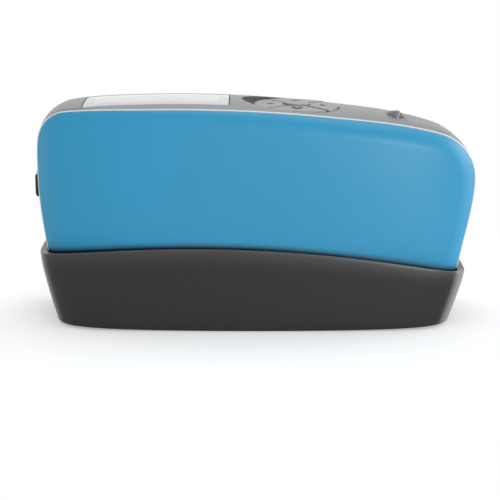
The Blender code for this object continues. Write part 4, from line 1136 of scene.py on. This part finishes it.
# %% Tree helpers
def start_tree(name, inputs):
    """A Geometry Nodes tree with named inputs after the geometry. A finish is always the last."""
    tree = bpy.data.node_groups.new(name, "GeometryNodeTree")
    tree.interface.new_socket("Geometry", in_out="INPUT", socket_type="NodeSocketGeometry")
    for socket_name, default in inputs.items():
        kind = "NodeSocketFloat" if isinstance(default, float) else "NodeSocketVector"
        tree.interface.new_socket(socket_name, in_out="INPUT", socket_type=kind).default_value = default
    tree.interface.new_socket("Finish", in_out="INPUT", socket_type="NodeSocketMaterial")
    tree.interface.new_socket("Geometry", in_out="OUTPUT", socket_type="NodeSocketGeometry")
    return tree, add_node(tree, "NodeGroupInput").outputs


def finish_tree(tree, geometry, given):
    """Ends a tree: instances made real, smooth faces and the finish."""
    real = add_node(tree, "GeometryNodeRealizeInstances", {0: geometry})
    smooth = add_node(tree, "GeometryNodeSetShadeSmooth", {0: real})
    paint = add_node(tree, "GeometryNodeSetMaterial", {"Geometry": smooth, "Material": given["Finish"]})
    add_node(tree, "NodeGroupOutput", {0: paint})
    return tree


def run_tree(piece, tree, values):
    """Puts a tree on a piece, sets its inputs by identifier and turns the result into a plain mesh."""
    modifier = piece.modifiers.new(tree.name, "NODES")
    modifier.node_group = tree
    for item in tree.interface.items_tree:
        if item.item_type == "SOCKET" and item.in_out == "INPUT" and item.name in values:
            modifier[item.identifier] = values[item.name]
    made = plain_mesh(piece)
    crease_at(made.data, 30.0)
    return made


def point_at(tree, *values):
    """A vector of three values, each a formula or a number."""
    return add_node(tree, "ShaderNodeCombineXYZ", dict(enumerate(values)))


# %% Trim tree
TRIM_INPUTS = {
    "Width": 0.0006,
    "Proud": 0.0001,
    "Drop": 0.0004,
    "Depth": 0.0020,
    "Side": 1.0,
    "Corner": 0.0001,
}


def trim_tree():
    tree, given = start_tree("Trim sweep", TRIM_INPUTS)
    width, proud, drop, depth, side = (Formula(tree, given[name]) for name in list(TRIM_INPUTS)[:5])
    band_side, shell_side = width * side * -0.5, width * side * 0.5
    section = add_node(tree, "GeometryNodeCurvePrimitiveQuadrilateral", mode="POINTS")
    corners = (
        (proud, band_side),
        (0.0 - drop, shell_side),
        (0.0 - depth, shell_side),
        (0.0 - depth, band_side),
    )
    for number, corner in enumerate(corners, 1):
        set_inputs(tree, section, {f"Point {number}": point_at(tree, *corner, 0.0)})
    fillet = {"Curve": section, "Radius": given["Corner"], "Count": 4}
    rounded = add_node(tree, "GeometryNodeFilletCurve", fillet, mode="POLY")
    along_and_across = {0: add_node(tree, "GeometryNodeInputTangent"), 1: (0.0, 1.0, 0.0)}
    outward = add_node(tree, "ShaderNodeVectorMath", along_and_across, operation="CROSS_PRODUCT")
    facing_out = {"Curve": given["Geometry"], "Normal": outward}
    path = add_node(tree, "GeometryNodeSetCurveNormal", facing_out, mode="FREE")
    sweep = add_node(tree, "GeometryNodeCurveToMesh", {"Curve": path, "Profile Curve": rounded})
    return finish_tree(tree, sweep, given)


def seam_path(name, side):
    """A closed curve along the middle of the trim on one side."""
    curve = bpy.data.curves.new(name, "CURVE")
    curve.dimensions = "3D"
    line = curve.splines.new("POLY")
    line.points.add(len(LINE) - 1)
    for place, point in zip(line.points, LINE):
        depth = seam_depth(point.x) + SEAM_GAP + TRIM_WIDTH / 2
        place.co = (point.x, side * depth, point.y, 1.0)
    line.use_cyclic_u = True
    curve.materials.append(TRIM_WHITE)
    return add_object(name, curve)


def make_trims():
    tree = trim_tree()
    drop = SHELL_DROP - TRIM_PROUD / 2
    sizes = {"Width": TRIM_WIDTH, "Proud": TRIM_PROUD, "Drop": drop, "Depth": SHELL_WALL}
    for name, side, node in (("front_trim_ring", -1, "front_trim"), ("rear_trim_ring", 1, "rear_trim")):
        values = {**sizes, "Side": -float(side), "Finish": TRIM_WHITE}
        seat(run_tree(seam_path(name, side), tree, values), "instrument", [node])


make_trims()

# %% [markdown]
# ## The display pane
#
# The pane is a thin plate that follows the curve of the band, a tenth of a millimetre below it.
# Its upper edges are bevelled, which is the fine bright line round such panes.

# %% Pane
PANE_BEVEL = 0.0003
BEVEL_STEP = 0.3 * PANE_BEVEL
PANE_ROWS = ((0.0, PANE_THICKNESS), (0.0, PANE_BEVEL), (BEVEL_STEP, BEVEL_STEP), (PANE_BEVEL, 0.0))


def pane_top(x, y):
    return band_height(x, y) - PANE_SUNK


def make_pane():
    rings = []
    for inset, drop in PANE_ROWS:
        xs, ys = pane_grid(inset)
        border = around([[(x, y) for x in xs] for y in ys])
        rings.append([(x, y, pane_top(x, y) - drop) for x, y in border])
    mesh = loft(rings, "open")
    for inset, drop in ((PANE_BEVEL, 0.0), (0.0, PANE_THICKNESS)):
        sheet(mesh, *pane_grid(inset), lambda x, y: pane_top(x, y) - drop)
    seat(add_piece("display_pane", mesh, PANE), "instrument", ["display_window"])


make_pane()

# %% [markdown]
# ## The keys
#
# Four keys share a ring round a middle key, as on many handheld instruments. A key is a sector
# with rounded edges, on a flange that keeps it in. The gap between neighbours is the same width
# all along, so a sector's half angle depends on the radius. Each key carries a small dark arrow,
# a thin raised print that rides with it.

# %% Ring keys
KEY_GAP, CENTRE_KEY_GAP, KEY_RISE, KEY_ROUND = 0.0009, 0.0004, 0.0004, 0.0003
CENTRE_KEY_RADIUS, CENTRE_KEY_RISE, CENTRE_KEY_EDGE = 0.0044, 0.0006, 0.0005
KEY_FLANGE, KEY_FLANGE_THICKNESS = 0.0009, 0.0008
KEY_ROW_SHADES = (1.0, 1.0, 1.0, 1.0, 1.0, 0.8, 0.25, 0.0)
KEYS = (
    ("right_key_cap", "key_right", "right_key", 0),
    ("up_key_cap", "key_up", "up_key", 90),
    ("left_key_cap", "key_left", "left_key", 180),
    ("down_key_cap", "key_down", "down_key", 270),
)


def key_top(x, radius):
    """Height of a ring key's face, which rises a little towards the middle."""
    return keypad_height(x) + KEY_RISE * (1 - radius / KEYPAD_RADIUS)


def flange_top(x, radius=0.0):
    return band_inside(x) - FIT


def flange_bottom(x, radius=0.0):
    return flange_top(x) - KEY_FLANGE_THICKNESS


def sector_ring(middle, inset, height, flange=0.0, steps=28):
    """The outline of a ring sector, set in from its edges."""
    ring = []
    arcs = ((KEYPAD_RADIUS - inset + flange, 1), (CENTRE_KEY_RADIUS + CENTRE_KEY_GAP + inset, -1))
    for radius, direction in arcs:
        half = math.radians(45) - math.asin((KEY_GAP / 2 + inset) / radius)
        for angle in spaced(middle - direction * half, middle + direction * half, steps):
            x = KEYPAD_X + radius * math.cos(angle)
            ring.append((x, radius * math.sin(angle), height(x, radius)))
    return ring


def key_shade(x, y, at_end):
    """How dark the gap looks at a key's border: dark between the keys on the right, faint elsewhere."""
    radius = math.hypot(x - KEYPAD_X, y)
    towards_right = (x - KEYPAD_X) / radius
    if at_end:
        return 0.85 if towards_right > 0 else 0.30
    if radius > (KEYPAD_RADIUS + CENTRE_KEY_RADIUS) / 2:
        return 0.05 + 0.95 * max(0.0, towards_right) ** 8
    return 0.15 + 0.85 * max(0.0, -towards_right) ** 6


def make_ring_key(name, node, body, degrees):
    middle = math.radians(degrees)
    rings = [sector_ring(middle, 0.0, height, KEY_FLANGE) for height in (flange_bottom, flange_top)]
    rings.append(sector_ring(middle, 0.0, flange_top))
    for drop, inset in rounding(KEY_ROUND, 0, 30, 60, 90):
        rings.append(sector_ring(middle, inset, lambda x, radius: key_top(x, radius) - drop))
    rings.append(sector_ring(middle, KEY_ROUND * 2.2, key_top))
    mesh, count = loft(rings, "open"), len(rings[0])
    vertices, layer = list(mesh.verts), mesh.verts.layers.float["edge"]
    for number, vertex in enumerate(vertices):
        row, place = divmod(number, count)
        at_end = place in (0, count // 2 - 1, count // 2, count - 1)
        vertex[layer] = KEY_ROW_SHADES[row] * key_shade(vertex.co.x, vertex.co.y, at_end)
    for loop in (vertices[:count], vertices[-count:]):
        for i in range(count // 2 - 1):
            mesh.faces.new((loop[i], loop[i + 1], loop[count - i - 2], loop[count - i - 1]))
    seat(add_piece(name, mesh, KEY_GREY), body, [node])


for key in KEYS:
    make_ring_key(*key)


# %% Middle key
MIDDLE_KEY_ROWS = (
    (1.0, 1.0, 0.4),
    (0.993, 0.75, 0.2),
    (0.975, 0.52, 0.0),
    (0.94, 0.36, 0.0),
    (0.85, 0.24, 0.0),
    (0.6, 0.1, 0.0),
    (0.35, 0.03, 0.0),
    (0.08, 0.0, 0.0),
)


def make_middle_key():
    """The key's rings, each a share of its radius, a share of its edge's drop and an edge value, which is
    painted shade round its rim.
    """
    rings, edges = [keypad_ring(CENTRE_KEY_RADIUS, flange_bottom, 96)], [MIDDLE_KEY_ROWS[0][-1]]
    for share, drop, wear_and_shade in MIDDLE_KEY_ROWS:
        rise = KEY_RISE + CENTRE_KEY_RISE - CENTRE_KEY_EDGE * drop
        rings.append(keypad_ring(CENTRE_KEY_RADIUS * share, lambda x: keypad_height(x) + rise, 96))
        edges.append(wear_and_shade)
    key = add_piece("middle_key_cap", loft(rings, edges=edges), KEY_GREY, 50.0)
    seat(key, "center_key", ["key_center"])


make_middle_key()

# %% Arrow marks
MARK_RADIUS = 0.0100
MARK_REACH, MARK_HALF_WIDTH, MARK_LINE = 0.0028, 0.0021, 0.0020
SIDE_MARK = 0.55
MARK_PROUD, MARK_ROOT = 0.00005, 0.0002


def arrow_outline():
    """A chevron that points along +X, as (along, across) points round it."""
    half, wide = MARK_REACH / 2, MARK_HALF_WIDTH
    tail, inner = -half - MARK_LINE, wide - MARK_LINE / 3
    notch = half - MARK_LINE * 1.3
    return (half, 0.0), (-half, wide), (tail, inner), (notch, 0.0), (tail, -inner), (-half, -wide)


def make_arrow(name, body, degrees):
    turn = Matrix.Rotation(math.radians(degrees), 2)
    size = 1.0 if degrees % 180 else SIDE_MARK
    rings = []
    for proud in (-MARK_ROOT, MARK_PROUD):
        ring = []
        for along, across in arrow_outline():
            place = turn @ Vector((MARK_RADIUS + size * along, size * across))
            ring.append((KEYPAD_X + place.x, place.y, key_top(KEYPAD_X + place.x, place.length) + proud))
        rings.append(ring)
    arrow = add_piece(name, loft(rings), MARK)
    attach(arrow, body)


for _, node, body, degrees in KEYS:
    make_arrow(f"{body}_arrow", body, degrees)
print("arrows:", len(KEYS))

# %% [markdown]
# ## The measuring button
#
# The button that starts a measurement is a tab across the band, pointed at both ends like a lens
# in plan. It stands up steeply on its left, where the fingertip pushes, rises on to a ridge and
# drops to the band on its right. It is a slab over a grid in plan, whose top is a rule of both
# coordinates, with a flange under the band.

# %% Button
BUTTON_RISE, BUTTON_CURVE, BUTTON_FLANGE = 0.0020, 0.40, 0.0015
LENS_HALF_DEPTH = 0.0065
LENS_EDGES = (
    (BUTTON_LEFT + 0.0001, 0.0026),
    (BUTTON_RIGHT - 0.0018, -0.0014),
    (BUTTON_RIGHT - 0.0001, -0.0032),
)
RIDGE_HALF_WIDTH, LEFT_FACE_SHADE = 0.0004, 0.6


def lens_lines(y):
    """X of the tab's left edge, ridge and right edge at this depth. They meet at its two points."""
    return [middle + slant * (y / LENS_HALF_DEPTH) ** 2 for middle, slant in LENS_EDGES]


def button_rise(x, y):
    """How far the tab stands over the band."""
    left, ridge, right = lens_lines(y)
    if abs(y) >= LENS_HALF_DEPTH or not left < x < right:
        return 0.0
    share = ((x - left) / (ridge - left)) ** BUTTON_CURVE if x <= ridge else (right - x) / (right - ridge)
    return BUTTON_RISE * share * math.sqrt(1 - (y / LENS_HALF_DEPTH) ** 2)


def button_top(x, y):
    return band_height(x, y) + button_rise(x, y)


def shaded_side(x, y):
    """How much painted shade a place takes: 1 on the tab's right face, 0.6 on its left one, 0 on its ridge
    and on the flush rim round it.
    """
    left, ridge, right = lens_lines(y)
    if abs(y) > LENS_HALF_DEPTH - RIDGE_HALF_WIDTH or not left < x < right:
        return 0.0
    away = (x - ridge) / RIDGE_HALF_WIDTH
    return clamped(away) if away > 0 else LEFT_FACE_SHADE * clamped(-away / 2)


def make_button():
    xs = spaced(BUTTON_LEFT, BUTTON_RIGHT, 62)
    ys = [BUTTON_HALF_DEPTH * math.sin(math.radians(angle)) for angle in spaced(-90, 90, 56)]
    top = band_inside(BUTTON_RIGHT + BUTTON_FLANGE) - FIT
    mesh = slab(xs, ys, button_top, lambda x, y: top - FRAME_WALL / 4)
    layer = mesh.verts.layers.float.new("edge")
    for vertex in mesh.verts:
        vertex[layer] = shaded_side(vertex.co.x, vertex.co.y)
    depth = BUTTON_HALF_DEPTH + BUTTON_FLANGE
    low = (BUTTON_LEFT - BUTTON_FLANGE, -depth, top - KEY_FLANGE_THICKNESS)
    flange = block(low, (BUTTON_RIGHT + BUTTON_FLANGE, depth, top))
    button = carve(add_piece("button_tab", mesh, BUTTON_GREY), [("UNION", flange)])
    crease_at(button.data, 28.0)
    seat(button, "trigger", ["measure_button"])


make_button()

# %% [markdown]
# ## The port's cover
#
# A soft black cover closes the charging port in the left end. It swings about a line along its
# top edge, so its top is a thin round hinge, and the thicker pad under it stands proud of the band
# for a fingernail. The pad starts far enough below the hinge to clear the band when it swings up.
# Its two side edges are rounded, which is how the moulded rubber ones look.

# %% Port cover
PORT_COVER_ROUND = 0.0004
PORT_HINGE_RADIUS = 0.0008
PAD_START, PAD_SLOPE = 0.0009, 0.0008


def port_cover_rings():
    """Sections of the cover from one side of the port to the other, with rounded side edges."""
    half, radius = PORT_COVER_THICKNESS / 2, PORT_HINGE_RADIUS
    middle, foot = PORT_FLOOR - half, PORT_HEIGHT - PORT_HALF_HEIGHT
    hinge_x, hinge_z = PORT_FLOOR - radius, PORT_HEIGHT + PORT_HALF_HEIGHT - radius
    section = []
    for degrees in spaced(0, 180, 16):
        angle = math.radians(degrees)
        section.append((hinge_x + radius * math.cos(angle), hinge_z + radius * math.sin(angle)))
    section += [(hinge_x - radius, hinge_z - PAD_START), (middle - half, hinge_z - PAD_START - PAD_SLOPE)]
    section += [(middle - half, foot + half), (middle - half * 0.85, foot + half * 0.4)]
    section += [(middle - half * 0.5, foot), (middle + half, foot)]
    rings = []
    for side, turns in ((-1, (0, 30, 60, 90)), (1, (90, 60, 30, 0))):
        for drop, inset in rounding(PORT_COVER_ROUND, *turns):
            y, shrink = side * (PORT_HALF_WIDTH - inset), 1.0 - drop / half
            rings.append([(middle + (x - middle) * shrink, y, z) for x, z in section])
    return rings


def make_port_cover():
    cover = add_piece("port_door_cap", loft(port_cover_rings(), edges=[0.5] * 8), RUBBER)
    seat(cover, "port_door", ["port_cover"])


make_port_cover()

# %% [markdown]
# ## The holder, shaped by a rule in Geometry Nodes
#
# The holder is an open cup with a rounded rectangular plan, walls that flare a little and a rim
# that dips towards both ends. All of that is one rule. The starting mesh is only a pattern: a
# round tube whose points carry how far they are set in, how high they lie and how much they
# follow the rim. The tree bends the pattern into the cup: a power makes the circle a rounded
# rectangle, and the heights set the flare. The plan's power, the rim's arc and the flares are
# inputs, so the same tree would fit a holder for another instrument.

# %% Holder sizes
HOLDER_FLOOR, HOLDER_BOTTOM, HOLDER_WALL, HOLDER_EDGE = 0.0034, 0.0001, 0.0018, 0.0007
HOLDER_POWER = 5.8
RIM_LEAN, RIM_LEAN_START, RIM_LIP, RIM_ROUND = 0.0003, 0.72, 0.0011, 0.0004
LEFT_GAP, RIGHT_GAP, SIDE_GAP = 0.0015, 0.0012, 0.0009
# Painted highlight down the upright corners, on top of the bright line that the lamps behind the ends draw
# there.
LEFT_CORNER_HIGHLIGHT, RIGHT_CORNER_HIGHLIGHT = (17.0, 11.0, 1.7), (23.0, 13.0, 3.0)
HOLDER_RULE = {
    "Power": HOLDER_POWER,
    "Floor": HOLDER_FLOOR,
    "Low height": LOW_HEIGHT,
    "Left reach": -LOW_LEFT + HOLDER_WALL + LEFT_GAP,
    "Right reach": LOW_RIGHT + HOLDER_WALL + RIGHT_GAP,
    "Left slope": 0.320,
    "Right slope": 0.380,
    "Left curl": 2.8,
    "Right curl": 2.5,
    "Depth at rim": FACE_DEPTH + HOLDER_WALL + SIDE_GAP,
    "Depth slope": 0.005,
    "Rocker": 0.0008,
    "Bow": 0.045,
    "Rim apex": RIM_APEX,
    "Rim height": RIM_HEIGHT,
    "Rim radius": RIM_RADIUS,
    "Rim lip": RIM_LIP,
}
CARRIED = ("inset", "level", "follow", "lip")


# %% Holder tree
def holder_tree():
    tree, given = start_tree("Holder cup", HOLDER_RULE)
    size = {name: Formula(tree, given[name]) for name in HOLDER_RULE}
    carried = {}
    for name in CARRIED:
        node = add_node(tree, "GeometryNodeInputNamedAttribute", {"Name": name})
        carried[name] = Formula(tree, node.outputs["Attribute"])
    parts = add_node(tree, "ShaderNodeSeparateXYZ", {0: add_node(tree, "GeometryNodeInputPosition")})
    along, across = Formula(tree, parts.outputs[0]), Formula(tree, parts.outputs[1])
    right = along.above(0.0)
    left = 1.0 - right
    low, slope, curl = (
        size["Left " + name] * left + size["Right " + name] * right for name in ("reach", "slope", "curl")
    )
    start = size["Low height"]

    def reach(z):
        return low + slope * (z - start) - curl * (z * z - start * start)

    share = along.sign() * along.size() ** (2.0 / size["Power"])
    away = share * reach(size["Floor"]) - size["Rim apex"]
    radius = size["Rim radius"]
    rim = size["Rim height"] - radius + (radius * radius - away * away).root()
    rocker = size["Rocker"] * share * share * (1.0 - carried["follow"])
    z = carried["level"] + carried["follow"] * rim + rocker
    x = share * (reach(z) - carried["inset"] - carried["lip"] * size["Rim lip"])
    depth = size["Depth at rim"] - size["Depth slope"] * (size["Rim height"] - z) - carried["inset"]
    bowed = depth * (1.0 - size["Bow"] * share * share)
    y = across.sign() * across.size() ** (2.0 / size["Power"]) * bowed
    place = {"Geometry": given["Geometry"], "Position": point_at(tree, x, y, z)}
    return finish_tree(tree, add_node(tree, "GeometryNodeSetPosition", place), given)


# %% Holder pattern
PLAN_HALF_LENGTH, PLAN_HALF_DEPTH = 0.0765, 0.0267
FINE_STEPS = 20000


def even_turns(steps=384):
    """Angles that put a rounded rectangle's points at even distances."""
    fine = [math.tau * i / FINE_STEPS for i in range(FINE_STEPS + 1)]
    places = []
    for angle in fine:
        turn = (math.cos(angle), math.sin(angle))
        along, across = (math.copysign(abs(value) ** (2 / HOLDER_POWER), value) for value in turn)
        places.append(Vector((along * PLAN_HALF_LENGTH, across * PLAN_HALF_DEPTH)))
    run = [0.0]
    for before, after in zip(places, places[1:]):
        run.append(run[-1] + (after - before).length)
    turns, j = [], 0
    for i in range(steps):
        while run[j + 1] < run[-1] * i / steps:
            j += 1
        turns.append(fine[j])
    return turns


def holder_rows():
    """The rows of the pattern from the underside, over the rim, to the floor.

    Each is what its points carry, in the order of CARRIED, and the edge value.
    The edge value is a painted highlight, which grows towards the rim and is full over it.
    """
    low, floor, wall = HOLDER_BOTTOM + HOLDER_EDGE, HOLDER_FLOOR + HOLDER_EDGE, HOLDER_WALL
    rows = []
    for inset, rise in rounding(HOLDER_EDGE, 0, 18, 36, 54, 72, 90):
        rows.append((inset, HOLDER_BOTTOM + rise, 0.0, 0.0, 0.0))
    for share in (0.04, 0.2, 0.4, 0.6, RIM_LEAN_START, 0.76, 0.8, 0.84, 0.88, 0.92, 0.96, 1.0):
        towards_rim = max(0.0, (share - RIM_LEAN_START) / (1 - RIM_LEAN_START)) ** 2
        level = low * (1 - share) - RIM_ROUND * share
        rows.append((RIM_LEAN * towards_rim, level, share, 0.0, 0.6 * towards_rim))
    for drop, inset in rounding(RIM_ROUND, 30, 60, 90):
        rows.append((RIM_LEAN + inset, -drop, 1.0, 0.0, 1.0))
    for drop, inset in rounding(RIM_ROUND, 90, 60, 30, 0):
        rows.append((wall - inset, -drop, 1.0, 1.0, 1.0))
    for share in (0.96, 0.8, 0.5, 0.04, 0.0):
        rows.append((wall, floor * (1 - share) - RIM_ROUND * share, share, share**3, 0.0))
    for inset, rise in rounding(HOLDER_EDGE, 60, 30, 0):
        rows.append((wall + inset, HOLDER_FLOOR + rise, 0.0, 0.0, 0.0))
    return rows


def painted_corner_highlight(x, y):
    """How much painted highlight the upright corners get at this place on the round pattern."""
    angle = math.degrees(math.atan2(abs(y), abs(x)))
    place, half_width, highlight = LEFT_CORNER_HIGHLIGHT if x < 0 else RIGHT_CORNER_HIGHLIGHT
    return highlight * max(0.0, 1 - ((angle - place) / half_width) ** 2)


def holder_pattern():
    rows, plan = holder_rows(), [(math.cos(turn), math.sin(turn)) for turn in even_turns()]
    rings = [[(x, y, float(number)) for x, y in plan] for number in range(len(rows))]
    mesh = loft(rings, edges=[row[-1] for row in rows])
    layers = [mesh.verts.layers.float.new(name) for name in CARRIED]
    edge = mesh.verts.layers.float["edge"]
    for vertex in mesh.verts:
        row = rows[round(vertex.co.z)]
        for layer, value in zip(layers, row):
            vertex[layer] = value
        if row[0] < HOLDER_WALL / 2:
            vertex[edge] += painted_corner_highlight(vertex.co.x, vertex.co.y)
    return mesh


# %% Holder with its ledges, its well and the seats of its feet
FOOT_RADIUS, FOOT_THICKNESS, FOOT_EDGE = 0.0042, 0.0016, 0.0004
LEDGE_X, LEDGE_HALF_WIDTH, LEDGE_HALF_DEPTH = 0.0580, 0.0012, 0.0120
WELL_WALL = 0.0022


def four(prefix):
    """The names of the four solids of one kind."""
    return [f"{prefix}_{number}" for number in (1, 2, 3, 4)]


def middles(prefix):
    return [sum(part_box(node), Vector()) / 2 for node in four(prefix)]


def holder_carving():
    root = (HOLDER_BOTTOM + HOLDER_FLOOR) / 2
    steps = []
    for middle in (-LEDGE_X, LEDGE_X):
        low = (middle - LEDGE_HALF_WIDTH, -LEDGE_HALF_DEPTH, root)
        ledge = block(low, (middle + LEDGE_HALF_WIDTH, LEDGE_HALF_DEPTH, SOLE_HEIGHT - FIT))
        steps.append(("UNION", ledge))
    low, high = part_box("calibration_tile")
    for operation, wide, base, top in (
        ("UNION", FIT + WELL_WALL, root, high.z),
        ("DIFFERENCE", FIT, HOLDER_FLOOR, high.z + OVERSHOOT),
    ):
        corners = (low.x - wide, low.y - wide, base), (high.x + wide, high.y + wide, top)
        steps.append((operation, block(*corners)))
    for foot in middles("foot"):
        outline = ((FOOT_RADIUS + FIT, HOLDER_BOTTOM - OVERSHOOT), (FOOT_RADIUS + FIT, FOOT_THICKNESS + FIT))
        steps.append(("DIFFERENCE", turned(outline, (foot.x, foot.y))))
    return steps


def make_holder():
    pattern = add_piece("holder_cup", holder_pattern(), HOLDER_DARK)
    cup = run_tree(pattern, holder_tree(), {"Finish": HOLDER_DARK})
    shell = bmesh.new()
    shell.from_mesh(cup.data)
    bpy.data.objects.remove(cup)
    cup = add_piece("holder_cup", shell, HOLDER_DARK)
    smooth = cup.data.copy()
    holder = carve(cup, holder_carving())
    crease_at(holder.data, 30.0)
    shade_as(holder, smooth)
    bpy.data.meshes.remove(smooth)
    seat(holder, "instrument", ["holder_body"])


make_holder()

# %% [markdown]
# ## Feet and screws, placed by Geometry Nodes
#
# The feet and the two sets of screws are the same idea: one small shape at the four corners of a
# rectangle. One tree does it. It takes the shape, lays a grid of two by two points with the
# wanted spread and puts an instance on each point.

# %% Four corners tree
def corners_tree():
    tree, given = start_tree("Four corners", {"Spread X": 0.1, "Spread Y": 0.02, "Centre": (0.0, 0.0, 0.0)})
    spread = {"Vertices X": 2, "Vertices Y": 2, "Size X": given["Spread X"], "Size Y": given["Spread Y"]}
    grid = add_node(tree, "GeometryNodeMeshGrid", spread)
    shift = add_node(tree, "GeometryNodeTransform", {"Geometry": grid, "Translation": given["Centre"]})
    copies = add_node(tree, "GeometryNodeInstanceOnPoints", {"Points": shift, "Instance": given["Geometry"]})
    return finish_tree(tree, copies, given)


CORNERS = corners_tree()


def at_corners(name, mesh, finish, prefix):
    """Puts a shape made round the origin at the four solids of one kind and seats the result as one piece."""
    places = middles(prefix)
    low = Vector((min(place.x for place in places), min(place.y for place in places)))
    high = Vector((max(place.x for place in places), max(place.y for place in places)))
    values = {
        "Spread X": high.x - low.x,
        "Spread Y": high.y - low.y,
        "Centre": ((low.x + high.x) / 2, (low.y + high.y) / 2, 0.0),
        "Finish": finish,
    }
    seat(run_tree(add_piece(name, mesh, finish), CORNERS, values), "instrument", four(prefix))


# %% Feet
FOOT_HOLLOW = ((0.0004, 0.0003), (0.0030, 0.0003), (0.0033, 0.0))


def foot_mesh():
    """A disc with a shallow hollow underneath and a rounded lower edge."""
    edge = [(FOOT_RADIUS - inset, rise) for inset, rise in rounding(FOOT_EDGE, *spaced(0, 90, 4))]
    return turned([*FOOT_HOLLOW, *edge, (FOOT_RADIUS, FOOT_THICKNESS)])


at_corners("rubber_feet", foot_mesh(), RUBBER, "foot")

# %% Screws of the sole plate and of the board
SOLE_HEAD, BOARD_HEAD, SOLE_SHANK, BOARD_SHANK = 0.0022, 0.0020, 0.0010, 0.0007
HEAD_HEIGHT, SOCKET, SOCKET_DEPTH, SCREW_TIP = 0.0012, 0.0008, 0.0008, 0.0004


def screw_mesh(outline, steps=48):
    """A screw from an outline of (radius, height) points, its head below with a six sided socket."""
    low = outline[0][1]
    top = low + SOCKET_DEPTH
    rings = [circle(SOCKET * 0.2, top, steps=steps)]
    rings += [circle(SOCKET, height, steps=steps, corners=6) for height in (top, low)]
    return loft(rings + [circle(radius, height, steps=steps) for radius, height in outline])


def screw_shank(radius, low, high):
    return [(radius, low), (radius, high - SCREW_TIP), (radius / 2, high)]


def sole_screw(low, high):
    """Countersunk: the head narrows into the shank."""
    head = [(SOLE_HEAD, low), (SOLE_HEAD, low + HEAD_HEIGHT / 6)]
    return head + screw_shank(SOLE_SHANK, low + HEAD_HEIGHT, high)


def board_screw(low, high):
    """Pan head: flat under the head."""
    rim, under = low + HEAD_HEIGHT / 6, low + HEAD_HEIGHT
    head = [(BOARD_HEAD - HEAD_HEIGHT / 6, low), (BOARD_HEAD, rim), (BOARD_HEAD, under)]
    return head + screw_shank(BOARD_SHANK, under, high)


def make_screws():
    for prefix, outline in (("sole_screw", sole_screw), ("board_screw", board_screw)):
        low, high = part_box(f"{prefix}_1")
        at_corners(f"{prefix}_set", screw_mesh(outline(low.z, high.z)), STEEL, prefix)


make_screws()

# %% [markdown]
# ## Finishes of the solids that stay
#
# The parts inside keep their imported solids, which are already the right shape, and get the
# finishes made above: castings, glass, steel, rubber and the board.

# %% Inner parts
KEPT = {
    "lcd_backlight": TRIM_WHITE,
    "lcd_panel": BLACK_GLASS,
    "display_gasket": RUBBER,
    "key_mat": RUBBER,
    "trigger_switch": RUBBER,
    "main_board": BOARD,
    "usb_socket": STEEL,
    "battery": SLEEVE,
    "battery_clip": STEEL,
    "sole_plate": CASTING,
    "optics_block": CASTING,
    "source_lens": CLEAR_GLASS,
    "receiver_lens": CLEAR_GLASS,
    "source_led": TRIM_WHITE,
    "receiver_sensor": RUBBER,
    "calibration_tile": BLACK_GLASS,
    "tile_pad": RUBBER,
    "tile_retainer": HOLDER_DARK,
}
for node, finish in KEPT.items():
    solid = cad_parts[node]
    solid.data.materials.clear()
    solid.data.materials.append(finish)
print("solids kept:", len(KEPT))
